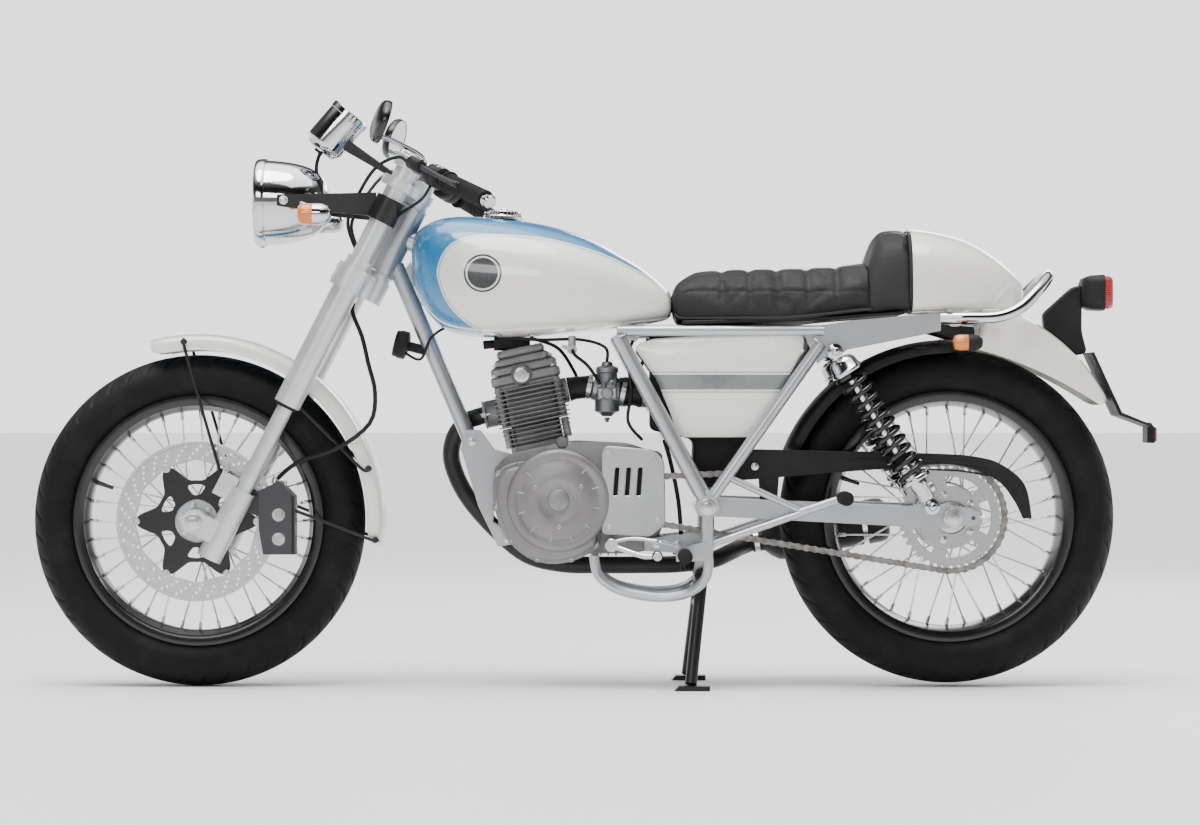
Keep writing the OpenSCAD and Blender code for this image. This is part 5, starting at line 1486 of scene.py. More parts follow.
def carburettor():
    body, rubber, brass = Shape(), Shape(), Shape()
    start, mid, end = borePoint(-84, 0, 112), vec(2, 0, 550), vec(-48, 0, 540)
    rubber.tube([borePoint(-71.5, 0, 112), start, mix(start, mid, 0.7), mid], [23, 21, 21, 22], 32)
    rubber.tube(smoothPath([(-44, 0, 540), (-66, 0, 539), (-84, 0, 538), (-99, 0, 538)], 4),
        [27, 27, 27, 26.2, 25, 24.4, 25, 27, 27, 26, 26.5, 28, 28], 32)
    along = (end - mid).normalized()
    body.lathe([(23, 0), (25, 2), (25, 9), (22, 11), (22, 22), (27, 25), (27, 40), (24, 43),
        (24, 50), (26, 52)], mid + vec(2, 0, 0), along, 48)
    body.lathe([(22, 0), (23, 3), (23, 22), (25, 24), (25, 28), (20, 30)], (-22, 0, 504), (0, 0, 1),
        40)
    body.lathe([(9, 0), (12, 3), (15, 6), (23, 9), (23, 12)], (-22, 0, 495), (0, 0, 1), 40)
    body.lathe([(19, -20), (19, 14), (21, 16), (21, 24), (17, 27), (11, 28), (10, 34), (7, 36),
        (0, 36.5)], (-22, 0, 560), (0, 0, 1), 40)
    body.box((-40, 22, 526), (-4, 32, 548), 2.5)
    body.lathe([(11, 0), (11, 7), (9, 9), (0, 9.4)], (-22, 31, 537), (0, 1, 0), 32)
    for dx, dz in ((-15, -3), (15, -3)):
        brass.capBolt((-22 + dx, 21, 531 + dz), (0, 1, 0), 3, 3)
        brass.rod((-22 + dx, 12, 534), (-22 + dx, 12, 510), 2.6, 12)
    brass.lathe([(6, 0), (6, 4), (4, 5), (4, 9), (0, 9)], (-22, 0, 493), (0, 0, -1), 6)
    brass.rod((-8, 30, 552), (-8, 44, 552), 3, 12)
    brass.rod((-30, 22, 556), (-30, 40, 560), 2.4, 12)
    for at, r in ((start + (mid - start) * 0.75, 23.4), (vec(-52, 0, 540), 28.4),
            (vec(-94, 0, 538), 28.8)):
        brass.lathe([(r - 1.4, -4), (r, -4), (r, 4), (r - 1.4, 4)], at, along, 40)
    makePiece("carburettor", body, "carbGrey", "chassis", ["carburettor"], sharp=40)
    makePiece("intakeRubber", rubber, "cableRubber", "chassis", sharp=50)
    makePiece("carburettorScrews", brass, "boltSteel", "chassis")
    box = Shape().plate(roundedCorners([(-100, 655), (-100, 470), (-180, 452), (-176, 366),
        (-232, 366), (-262, 420), (-296, 460), (-300, 655)], 12), -62, 124, 4)
    for k in range(5):
        box.plate(roundedCorners([(-120, 500 + k * 24), (-120, 510 + k * 24), (-280, 510 + k * 24),
            (-280, 500 + k * 24)], 4), 61, 3, 1)
    box.rod((-150, -94, 650), (-150, 94, 650), 6)
    makePiece("airBox", box, "blackPlastic", "chassis", ["air_box"])


def exhaust():
    canFront, canBack = vec(-296, -176, 256), vec(-552, -176, 302)
    route = smoothPath([borePoint(86.4, -22, 98), borePoint(94, -22, 98), borePoint(104, -23, 97),
        (240, -38, 484), (262, -54, 454), (266, -60, 410), (240, -60, 350), (190, -62, 290),
        (128, -66, 238), (60, -72, 220), (-10, -78, 218), (-90, -84, 218), (-150, -87, 219),
        (-204, -101, 224), (-228, -108, 229), (-252, -130, 239), (-274, -160, 248), canFront,
        mix(canFront, canBack, 0.06)], 6)
    pipe = Shape().tube(route, 16, 28)
    flange = Shape()
    outline = closedSmooth([(0, 26), (14, 18), (32, 7), (36, 0), (32, -7), (14, -18), (0, -26),
        (-14, -18), (-32, -7), (-36, 0), (-32, 7), (-14, 18)], 4)
    flange.skin([[borePoint(86.2 + z, -22 + p[0] * k, 98 + p[1] * k) for p in outline]
        for z, k in ((0, 0.97), (0.8, 1), (5 - 0.8, 1), (5, 0.97))])
    for y in (-28, 28):
        flange.bolt(borePoint(91, -22 + y, 98), borePoint(1, 0, 0) - boreFoot, 4, 4)
    axis = (canBack - canFront).normalized()
    length = (canBack - canFront).length
    can = Shape().lathe([(16.2, 0), (19, 0.5), (19, 20), (21, 23), (32, 34), (40, 46), (42, 54),
        (42, 60), (41.2, 62), (41.2, length - 42), (42, length - 40), (42, length - 20),
        (40, length - 8), (34, length - 2), (30, length), (20, length), (18, length - 4),
        (18, length - 60), (0, length - 60)], canFront, axis, 96)
    can.plate(roundedCorners([(-396, 300), (-364, 300), (-362, 336), (-390, 336)], 6), -156, 9)
    band = Shape()
    for h in (66, length - 52):
        band.lathe([(41.4, 0), (43, 0.6), (43, 9.4), (41.4, 10)], canFront + axis * h, axis, 96)
    band.lathe([(17, 0), (20.6, 0.5), (20.6, 9.5), (17, 10)], canFront + axis * 4, axis, 48)
    band.bolt((-376, -147, 322), (0, 1, 0), 5, 5)
    makePiece("exhaustPipe", pipe, "heatBlack", "chassis", ["exhaust_pipe"], sharp=60)
    makePiece("exhaustFlange", flange, "hubAlloy", "chassis")
    makePiece("silencer", can, "heatBlack", "chassis", ["silencer"], sharp=40)
    makePiece("silencerBands", band, "spokeSteel", "chassis")


engineBlock()
engineCovers()
cylinderAndHead()
carburettor()
exhaust()
print("engine ready")


# Frame, shocks and fittings on it
def repaint(node, finishName):
    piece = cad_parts[node]
    for k in range(len(piece.material_slots)):
        piece.material_slots[k].material = finish[finishName]
    if not piece.material_slots:
        piece.data.materials.append(finish[finishName])


for node, finishName in (("main_frame", "frameSilver"), ("rear_frame", "frameSilver"),
        ("swingarm", "frameSilver"), ("fork_clamps", "forkSilver"), ("fork_legs", "forkSilver"),
        ("headlamp_bracket", "blackEnamel"), ("centre_stand", "blackEnamel"),
        ("plate_bracket", "blackPlastic")):
    repaint(node, finishName)


def weldBead(shape, at, axis, radius, size=2.2):
    axis, side, over = frameAlong(Vector(axis))
    path, sizes = [], []
    for k in range(48):
        a = tau * k / 48
        path.append(Vector(at) + radius * (math.cos(a) * side + math.sin(a) * over))
        sizes.append(size * (0.85 + 0.15 * math.cos(k * 2.6)))
    shape.tube(path, sizes, 8, closed=True)


def frameDetails():
    beads, bolts = Shape(), Shape()
    weldBead(beads, steerPoint(0, 0, 66), steerAxis, 27.4, 1.4)
    weldBead(beads, steerPoint(0, 0, -66), steerAxis, 27.4, 1.4)
    for side in (-1, 1):
        weldBead(beads, (-45, side * railY, railZ - 12), (-0.4, side * 0.06, -0.9), 15.0)
        weldBead(beads, (-404, side * railY, railZ - 20), (0.55, 0, -0.83), 12.5)
        for x, z in ((150, 414), (172, 396), (160, 270)):
            bolts.bolt((x, side * 31, z), (0, side, 0), 5, 5)
        bolts.bolt((226, side * 31, 449), (0, side, 0), 6, 6)
        for x, z in ((-112, 262), (-150, 262)):
            bolts.bolt((x, side * 79, z), (0, side, 0), 5.5, 5)
        bolts.lathe([(15, 0), (15, 2), (13, 2.6)], (pivot.x, side * (veeY + 16), pivot.z),
            (0, side, 0), 40)
        bolts.bolt((pivot.x, side * (veeY + 18), pivot.z), (0, side, 0), 9, 7)
        bolts.bolt((-161, side * (veeY + 15), 245), (0, side, 0), 5, 4)
    makePiece("weldBeads", beads, "frameSilver", "chassis")
    makePiece("frameBolts", bolts, "boltSteel", "chassis")

    ends = Shape()                               # axle nuts, chain adjusters and swingarm hardware
    for side in (-1, 1):
        at = rearAxle + vec(0, side * 132, 0)
        ends.lathe([(17, -3), (17, 0), (16, 0.6)], at, (0, side, 0), 40)
        ends.bolt(at, (0, side, 0), 12, 9)
        back = rearAxle + vec(-46, side * 108, -1)
        ends.rod(back + vec(6, 0, 0), back + vec(-24, 0, 0), 3.4, 14)
        ends.bolt(back + vec(-8, 0, 0), (-1, 0, 0), 5.2, 5)
        ends.lathe([(11, -4), (11, 0), (9.6, 1.4), (0, 1.6)], (pivot.x, side * 119, pivot.z),
            (0, side, 0), 32)
        for k in range(5):                       # adjuster marks on the end plate
            ends.box((rearAxle.x - 26 + k * 9, side * 121 - 0.6, 326),
                (rearAxle.x - 24.8 + k * 9, side * 121 + 0.6, 333), 0.2)
    makePiece("axleNuts", ends, "boltSteel", "chassis")


shockFacts = {"coils": 11.5, "coilRadius": 24.5, "wire": 4.6, "springLow": 62}


def shocks():
    low = rearAxle + vec(38, shockY, 20)
    high = rearAxle + vec(213, shockY, railZ - 38 - rearAxle.z)
    axis = (high - low).normalized()
    length = (high - low).length
    a, b = shockFacts["springLow"], length - 46
    springs, bodies, darks = Shape(), Shape(), Shape()
    side, over = frameAlong(axis)[1:]
    turns = shockFacts["coils"]
    path = []
    count = int(turns * 22)
    for k in range(count + 1):
        t = k / count
        h = mix(a + 5, b - 5, t)
        if t < 0.06:
            h = mix(a + 4, mix(a + 5, b - 5, 0.06), (t / 0.06) ** 1.6)
        if t > 0.94:
            h = mix(b - 4, mix(a + 5, b - 5, 0.94), ((1 - t) / 0.06) ** 1.6)
        turn = tau * turns * t
        path.append(low + axis * h + shockFacts["coilRadius"]
            * (math.cos(turn) * side + math.sin(turn) * over))
    springs.tube(path, shockFacts["wire"], 12)
    bodies.lathe([(13, 14), (15, 17), (15, 40), (17, 43), (17, 52), (29, 54), (30, 56), (30, 60),
        (28.5, 62), (18, 62), (18, 84), (17, 86), (10, 86)], low, axis, 56)
    bodies.lathe([(9.5, 84), (9.5, length - 60)], low, axis, 40)
    bodies.lathe([(18, b - 1), (29, b), (30, b + 2), (30, b + 6), (27, b + 9), (25, b + 22),
        (20, b + 29), (13, b + 32)], low, axis, 56)
    for at, r, y0, y1 in ((low, 14, -8, 9), (high, 14, -11, 11)):
        bodies.lathe([(r - 5, 0), (r, 1), (r, y1 - y0 - 1), (r - 5, y1 - y0)], at + vec(0, y0, 0),
            (0, 1, 0), 40)
        darks.lathe([(9.2, -0.4), (9.2, y1 - y0 + 0.4)], at + vec(0, y0, 0), (0, 1, 0), 32)
        bodies.lathe([(11, 0), (11, 1.6), (10, 2)], at + vec(0, y1 + 0.6, 0), (0, 1, 0), 32)
        bodies.lathe([(8.5, 2), (8.5, 7), (7, 10.5), (4.4, 12), (0, 12.6)],
            at + vec(0, y1 + 0.2, 0), (0, 1, 0), 6)
    darks.lathe([(10.5, 96), (12.5, 99), (12.5, 108), (10.5, 112)], low, axis, 32)
    for ring in range(4):                        # preload steps on the lower collar
        bodies.lathe([(18.4, 64 + ring * 4.6), (19.6, 65 + ring * 4.6), (19.6, 66.6 + ring * 4.6),
            (18.4, 67.6 + ring * 4.6)], low, axis, 48)
    makePiece("shockSprings", springs.bothSides(), "glossBlack", "chassis", sharp=60)
    makePiece("shockBodies", bodies.bothSides(), "brightChrome", "chassis", ["shock_absorbers"])
    makePiece("shockBushes", darks.bothSides(), "gripRubber", "chassis")


def chainGuard():
    x = rearAxle.x
    top = [(-258, 436), (x + 44, 428), (x - 50, 421), (x - 96, 405), (x - 134, 370), (x - 146, 311)]
    low = [(x - 130, 309), (x - 112, 345), (x - 78, 382), (x, 408), (x + 120, 400), (-254, 378)]
    topLine = smoothList([list(p) for p in top], 5)
    lowLine = smoothList([list(p) for p in low], 5)
    outline = roundedCorners([tuple(p) for p in topLine + lowLine], 5, 3)
    shape = Shape().plate(outline, chainY + 8.2, 2.8, 0.7)
    inner = [(p[0] + (3 if p[0] < x - 100 else 0), p[1] - 3) for p in topLine]
    shape.plate([tuple(p) for p in topLine] + list(reversed(inner)), chainY - 10, 20, 0.5)
    for k in range(2):                           # pressed ribs along the guard
        path = [vec(p[0] + 6, chainY + 11, p[1] - 14 - k * 15) for p in topLine[3:13]]
        shape.tube(path, 1.6, 8)
    bolts = Shape()
    for px, pz in ((-290, 404), (-560, 414)):
        shape.boss((px, 0, pz), 10, chainY + 6, chainY + 12.4, 28)
        bolts.bolt((px, chainY + 12.4, pz), (0, 1, 0), 5, 4)
    shape.plate([(-300, 330), (-330, 330), (-334, 392), (-296, 392)], chainY + 8, 2, 0.4)
    makePiece("chainGuard", shape, "blackPlastic", "chassis", ["chain_guard"])
    makePiece("chainGuardBolts", bolts, "boltSteel", "chassis")


def rearEnd():
    x = rearAxle.x
    route = smoothPath([(x + 19.6, railY + 4, railZ + 23), (x - 20, railY + 12, railZ + 23),
        (x - 82, railY + 12, railZ + 25), (x - 124, railY + 4, railZ + 42),
        (x - 158, 88, railZ + 74), (x - 178, 60, railZ + 96), (x - 185, 24, railZ + 104)], 8)
    loop = route + [vec(p.x, -p.y, p.z) for p in reversed(route)]
    makePiece("grabRail", Shape().tube(loop, 11, 24), "brightChrome", "chassis", ["grab_rail"],
        sharp=60)
    bolts = Shape()
    for side in (-1, 1):
        bolts.bolt((x + 5, side * 117, railZ + 33), (0, 0, 1), 5, 5)
    makePiece("railBolts", bolts, "boltSteel", "chassis")

    body = Shape()
    bracket = roundedCorners([(x - 231, 733), (x - 176, 683), (x - 179, 656), (x - 218, 626),
        (x - 238, 606), (x - 258, 612), (x - 248, 650), (x - 248, 736)], 9)
    body.plate(bracket, -16, 32, 3)
    outline = roundedCorners([(-48, 690), (48, 690), (48, 756), (-48, 756)], 20, 6)

    def lampRings(layers):                       # the lamp's outline, at distances behind the axle
        return [[(x - back, p[0] * k, 722 + (p[1] - 723) * k) for p in outline]
            for back, k in layers]

    body.skin(lampRings(((246, 0.55), (250, 0.8), (262, 0.96), (284, 1.0), (287, 1.0),
        (287, 0.96))))
    lens = Shape().skin(lampRings(((286, 0.95), (292, 0.945), (298, 0.92), (302, 0.84),
        (303.6, 0.6), (304, 0.3), (304, 0.01))))
    makePiece("tailLightShell", body, "blackPlastic", "chassis", ["tail_light"], sharp=40)
    makePiece("tailLens", lens, "redLens", "chassis", sharp=50)

    plate, red = Shape(), Shape()
    plate.plate([(x - 264, 612), (x - 258.5, 612), (x - 311, 497), (x - 368, 476), (x - 370, 480),
        (x - 316, 502)], -58, 116, 0.8)
    for side in (-1, 1):                         # stiffened edges of the plate carrier
        path = [vec(x - 262, side * 58, 612), vec(x - 314, side * 58, 499),
            vec(x - 369, side * 58, 478)]
        plate.tube(path, 2.6, 8)
    plate.plate(roundedCorners([(x - 366, 484), (x - 372, 484), (x - 380, 474), (x - 380, 446),
        (x - 366, 446)], 3), -30, 60, 0.8)
    red.plate(roundedCorners([(x - 380, 448), (x - 384, 450), (x - 384, 474), (x - 380, 476)], 1.5),
        -26, 52, 0.6)
    makePiece("plateCarrier", plate, "blackPlastic", "chassis", ["plate_bracket"])
    makePiece("reflector", red, "redLens", "chassis")
    print("rear end ready")


def indicatorPair(name, p, back, front, radius, body, replaced, stalk):
    shell, lens = Shape(), Shape()
    p = Vector(p)
    shell.lathe([(2, back), (radius * 0.5, back + 1), (radius * 0.82, back + 7),
        (radius * 0.97, back + 16), (radius, back + 24), (radius, front - 28),
        (radius - 1.2, front - 27)], p, (1, 0, 0), 40)
    lens.lathe([(radius - 1.4, front - 28.5), (radius - 0.6, front - 27),
        (radius - 0.4, front - 12), (radius - 1.4, front - 7), (radius * 0.8, front - 2.5),
        (radius * 0.45, front - 0.4), (0, front)], p, (1, 0, 0), 40)
    path = smoothPath(stalk, 5)
    shell.tube(path, [7] + [6] * (len(path) - 2) + [7], 20)
    makePiece(name + "Shells", shell.bothSides(),
        "brightChrome" if name == "front" else "blackPlastic", body, replaced)
    makePiece(name + "AmberLenses", lens.bothSides(), "amberLens", body, sharp=50)


def indicators():
    p = vec(518, 148, 859)
    ear = vec(532, 87, 880)
    indicatorPair("front", p, -44, 18, 20, "steering", ["front_indicators"],
        [ear + vec(0, -8, 0), ear + vec(0, 12, 0), p + vec(-8, -24, 8), p + vec(-10, -12, 0)])
    q = vec(rearAxle.x - 22, railY + 42, railZ - 22)
    shell = Shape()
    indicatorPair("rear", q, -30, 24, 15, "chassis", ["rear_indicators"],
        [(q.x, 76, railZ - 12), (q.x, railY + 10, railZ - 14), (q.x, railY + 30, railZ - 18)])
    x = rearAxle.x
    shell.plate(roundedCorners([(x + 38, railZ + 14), (x - 44, railZ + 8), (x - 44, railZ - 24),
        (x + 38, railZ)], 6), 73.3, 5)
    shell.box((x + 24, 73.3, railZ + 2), (x + 36, 102.8, railZ + 12), 1)
    makePiece("rearLampBracket", shell.bothSides(), "blackEnamel", "chassis")


def footGear():
    pegs, metal = Shape(), Shape()
    for (x, y, z), span, r in (((-161, veeY + 26, 245), 72, 13), ((-449, veeY, 348), 74, 13)):
        rings = [(r * 0.72, 0), (r * 0.9, 1)]
        for k in range(9):
            h = 3 + k * (span - 8) / 9
            step = (span - 8) / 9
            rings += [(r, h), (r, h + step * 0.62), (r - 2, h + step * 0.72),
                (r - 2, h + step * 0.95)]
        rings += [(r, span - 5), (r, span - 2), (r * 0.8, span)]
        pegs.lathe(rings, (x, y, z), (0, 1, 0), 24)
    pegs.rod((-161, veeY + 14, 245), (-161, veeY + 28, 245), 9)
    makePiece("footPegs", pegs.bothSides(), "gripRubber", "chassis", ["footrests"])
    metal.rod((-30, 75.2, 262), (-30, 132, 262), 8, 24)
    metal.rod((-30, 120, 262), (-30, 134, 262), 12, 28)
    metal.tube(smoothPath([(-30, 127, 262), (-58, 134, 252), (-88, 144, 243), (-112, 150, 244)], 5),
        5, 16)
    metal.rod((-112, 142, 244), (-112, 182, 244), 8, 24)
    metal.tube(smoothPath([(-34, 118, 268), (-70, 120, 274), (-120, 128, 268), (-150, 152, 262)],
        5), 3.4, 14)
    metal.lathe([(0, 0), (6, 1.4), (8, 5), (6, 8.6), (0, 10)], (-118, 128, 263), (0, 0, 1), 20)
    metal.rod((76, -115.2, 300), (76, -132, 300), 9, 24)
    metal.tube(smoothPath([(76, -127, 300), (36, -140, 288), (-10, -156, 268), (-40, -160, 262)],
        5), 5, 16)
    metal.rod((-40, -196, 262), (-40, -152, 262), 9, 24)
    makePiece("footLevers", metal, "brightChrome", "chassis", ["foot_controls"])
    rubber = Shape()
    rubber.lathe([(8.2, 0), (9.6, 1), (9.6, 5), (8.8, 6), (9.6, 7), (9.6, 12), (8.8, 13), (9.6, 14),
        (9.6, 19), (8.8, 20), (9.6, 21), (9.6, 24), (8.2, 25)], (-112, 156, 244), (0, 1, 0), 24)
    makePiece("shiftRubber", rubber, "gripRubber", "chassis")


def hornAndWiring():
    horn = Shape()
    axis = vec(24, 0, 6).normalized()
    horn.lathe([(9, -44), (9, -2), (20, 0), (26, 3), (26, 16), (24, 20), (25, 23), (22, 26),
        (19, 24), (13, 24), (9, 22), (0, 22)], (344, 0, 624), axis, 64)
    makePiece("horn", horn, "blackPlastic", "chassis", ["horn"])
    wires = Shape()
    for route, r in (([(350, 12, 612), (320, 22, 600), (300, 22, 640), (262, 24, 660),
            (200, 26, 652)], 2.6), ([(-22, 0, 596), (-18, 8, 622), (30, 20, 636), (120, 30, 636),
            (220, 30, 652), (296, 26, 700)], 3.0),
            ([(42, 66, 618), (36, 72, 606), (14, 62, 588), (-6, 46, 560), (-8, 44, 553)], 3.2),
            ([(-40, 30, 560), (-66, 44, 566), (-90, 56, 600), (-96, 70, 636)], 3.6),
            ([(26, -60, 545), (40, -70, 580), (70, -50, 622), (120, -26, 640)], 3.4),
            ([(-126, 60, 452), (-138, 66, 410), (-152, 60, 340), (-158, 52, 262), (-160, 50, 214)],
            4.0), ([(-86, 60, 452), (-60, 70, 486), (-66, 72, 540), (-60, 76, 600), (-70, 84, 636)],
            3.0)):
        wires.tube(smoothPath(route, 7), r, 10)
    makePiece("enginePipesAndWires", wires, "cableRubber", "chassis", sharp=60)
    coil = Shape().box((120, -22, 616), (186, 22, 640), 4)
    coil.rod((186, 0, 628), (206, 0, 626), 8, 20)
    makePiece("ignitionCoil", coil, "blackPlastic", "chassis")


frameDetails()
shocks()
chainGuard()
rearEnd()
indicators()
footGear()
hornAndWiring()
print("fittings ready")


# Front end
def forkDetails():
    seals, bolts, stanchion = Shape(), Shape(), Shape()
    for side in (-1, 1):
        def place(u, s):
            return steerPoint(u, side * legY, s)
        top = place(forkU, legTopS)
        seals.lathe([(21.6, -3), (23.4, -1), (23.4, 3), (21.4, 5), (19, 6)],
            place(forkU, outerLowS), -steerAxis, 40)
        stanchion.lathe([(forkUpperR, 0), (forkUpperR - 1.5, 1.5), (14, 1.8), (14, 0.4), (0, 0.2)],
            top, steerAxis, 40)
        bolts.bolt(top + steerAxis * 0.2, steerAxis, 8, 5)
        for u, s in ((forkU + 30, lowClampS - 11), (forkU + 30, lowClampS + 11),
                (forkU + 29, topClampS)):
            bolts.capBolt(steerPoint(u, side * (legY - 6), s), steerAhead, 5, 5)
        bolts.lathe([(16, 0), (16, 1.5), (14, 2)], (frontAxle.x, side * (legY + 21), frontAxle.z),
            (0, side, 0), 36)
        bolts.bolt((frontAxle.x, side * (legY + 22), frontAxle.z), (0, side, 0), 9, 8)
        for k in (-1, 1):
            bolts.capBolt(steerPoint(axleU - 18, side * (legY + 8), axleS + k * 15),
                -steerAxis if k < 0 else steerAxis, 3.6, 3)
    bolts.lathe([(20, 0), (20, 2), (17, 3), (17, 12), (15, 14), (9, 14.5), (9, 9), (0, 9)],
        steerPoint(0, 0, topClampS + 24), steerAxis, 6)
    makePiece("forkSeals", seals, "gripRubber", "steering")
    makePiece("forkBolts", bolts, "boltSteel", "steering")
    makePiece("forkCaps", stanchion, "brightChrome", "steering")


def gripShape(shape, start, end):
    axis = (end - start).normalized()
    length = (end - start).length
    profile = [(11.4, 0), (19.5, 0.6), (20.4, 3), (19.5, 6), (16.4, 7)]
    h = 9.0
    while h < length - 12:
        profile += [(16.4, h), (16.4, h + 3.0), (15.4, h + 3.5), (15.4, h + 4.6), (16.4, h + 5.0)]
        h += 5.2
    profile += [(16.4, length - 9), (16.6, length - 2), (15, length), (11, length)]
    shape.lathe(profile, start, axis, 40)


def bars():
    rods, grips, ends, clips, bolts = Shape(), Shape(), Shape(), Shape(), Shape()
    rods.rod(barStart, onBar(0.53), 11, 32)
    gripShape(grips, onBar(0.52), onBar(1))
    axis = (barTip - barStart).normalized()
    ends.lathe([(8, 0), (12, 1), (12, 3), (10.6, 4), (10.6, 6), (12, 7), (12, 17), (9, 20),
        (0, 20)], barTip, axis, 36)
    for side in (-1, 1):
        clips.lathe([(forkUpperR + 0.3, 0), (forkUpperR + 7, 0.4), (forkUpperR + 8, 1.6),
            (forkUpperR + 8, 22.4), (forkUpperR + 7, 23.6), (forkUpperR + 0.3, 24)],
            steerPoint(forkU, side * legY, legTopS - 28), steerAxis, 48)
        bolts.capBolt(steerPoint(forkU - 25, side * legY, legTopS - 10), steerAxis, 3.6, 2.6)
        bolts.capBolt(steerPoint(forkU - 25, side * legY, legTopS - 22), steerAxis, 3.6, 2.6)
    makePiece("barTubes", rods.bothSides(), "blackEnamel", "steering", ["handlebars"], sharp=50)
    makePiece("barGrips", grips.bothSides(), "gripRubber", "steering")
    makePiece("barEnds", ends.bothSides(), "brightChrome", "steering")
    makePiece("barClips", clips, "forkSilver", "steering")
    makePiece("barClipBolts", bolts, "boltSteel", "steering")


def handGear():
    ahead = vec(38, 0, 22)
    pods, levers, chrome = Shape(), Shape(), Shape()
    axis = (barTip - barStart).normalized()
    body = []
    for h, r in ((0, 14), (1, 18.6), (3, 20.4), (20, 20.8), (24, 20), (25, 19.2), (26, 20),
            (36, 20.8), (44, 20), (46, 17), (47, 12)):
        body.append((r, h))
    pods.lathe(body, onBar(0.3), axis, 40)
    pods.tube([onBar(0.38), onBar(0.36) + ahead * 0.6, onBar(0.34) + ahead], [9, 8.4, 8], 20)
    pods.rod(onBar(0.3) + ahead, onBar(0.44) + ahead, 11.6, 28, 2)
    up = vec(0, 0, 1) - axis * axis.z
    up.normalize()
    for k in range(3):                           # switches on the pods
        at = onBar(0.335 + k * 0.045) + up * 19
        chrome.lathe([(5, 0), (5, 2), (4, 3.2), (0, 3.4)], at - up * 1.5, up, 20)
    tipA, tipB = onBar(0.42) + ahead, onBar(0.92) + ahead + vec(4, 0, 0)
    path = smoothPath([tipA, mix(tipA, tipB, 0.25) + vec(2, 0, 1),
        mix(tipA, tipB, 0.62) + vec(0, 0, -1), tipB], 6)
    sizes = [5.8 - 1.6 * math.sin(math.pi * k / (len(path) - 1)) * 0.8 for k in range(len(path))]
    levers.tube(path, sizes, 16)
    levers.lathe([(0, -6), (4.4, -4.4), (5.9, 0), (4.4, 4.2), (0, 5.6)], tipB, axis, 20)
    reservoir = Shape()                          # brake fluid pot on the right bar
    base = mix(onBar(0.3), onBar(0.44), 0.5) + ahead
    base.y = -base.y
    pods.bothSides()
    levers.bothSides()
    chrome.bothSides()
    reservoir.rod(base + vec(0, -14, 2), base + vec(0, 16, 2), 13, 32, 2)
    reservoir.box(base + vec(-12, -15, 4), base + vec(11, 17, 20), 4)
    reservoir.box(base + vec(-13, -16, 19), base + vec(12, 18, 23), 1.5)
    for dx in (-7, 6):
        chrome.capBolt(base + vec(dx, 1, 23), (0, 0, 1), 2.2, 1)
    makePiece("switchPods", pods, "blackPlastic", "steering", ["hand_controls"], sharp=50)
    makePiece("handLevers", levers, "blackEnamel", "steering", sharp=50)
    makePiece("switchButtons", chrome, "boltSteel", "steering")
    makePiece("brakeReservoir", reservoir, "blackPlastic", "steering")


mirrorFacts = {"centre": (384, 205, 1022), "width": 40, "height": 51, "lean": -18, "turn": 12}


def mirrors():
    head = vec(mirrorFacts["centre"])
    foot = onBar(0.2) + vec(0, 0, 8)
    route = smoothPath([foot + vec(0, 0, -4), foot + vec(6, 4, 18),
        mix(foot, head, 0.5) + vec(14, 0, 4), head + vec(6, -4, -26)], 8)
    stems, shells, glass = Shape(), Shape(), Shape()
    stems.tube(route, [7, 7] + [4.6] * (len(route) - 4) + [6, 7], 20)
    stems.lathe([(9, 0), (9, 8), (7, 10), (5, 14)], foot + vec(0, 0, -2), (0.3, 0.2, 1), 6)
    turn = Matrix.Translation(head) @ Matrix.Rotation(math.radians(mirrorFacts["turn"]), 4, "Z") \
        @ Matrix.Rotation(math.radians(mirrorFacts["lean"]), 4, "Y")
    a, b = mirrorFacts["height"], mirrorFacts["width"]

    def oval(x, k):
        return [turn @ vec(x, a * k * math.sin(tau * j / 72), b * k * math.cos(tau * j / 72))
            for j in range(72)]
    shells.skin([oval(x, k) for x, k in ((-8.4, 0.93), (-9.6, 0.955), (-9.6, 0.985), (-7, 1.0),
        (-2, 1.0), (3, 0.95), (7, 0.82), (10, 0.6), (11.6, 0.3), (12, 0.02))])
    glass.skin([oval(x, k) for x, k in ((-8.2, 0.945), (-8.8, 0.94), (-8.9, 0.9), (-8.9, 0.02))])
    makePiece("mirrorStems", stems.bothSides(), "brightChrome", "steering", ["mirrors"], sharp=50)
    makePiece("mirrorShells", shells.bothSides(), "glossBlack", "steering",
        sharp=50)
    makePiece("mirrorFaces", glass.bothSides(), "mirrorGlass", "steering", sharp=50)


lampFacts = {"centre": (616, 0, 888), "radius": 81}


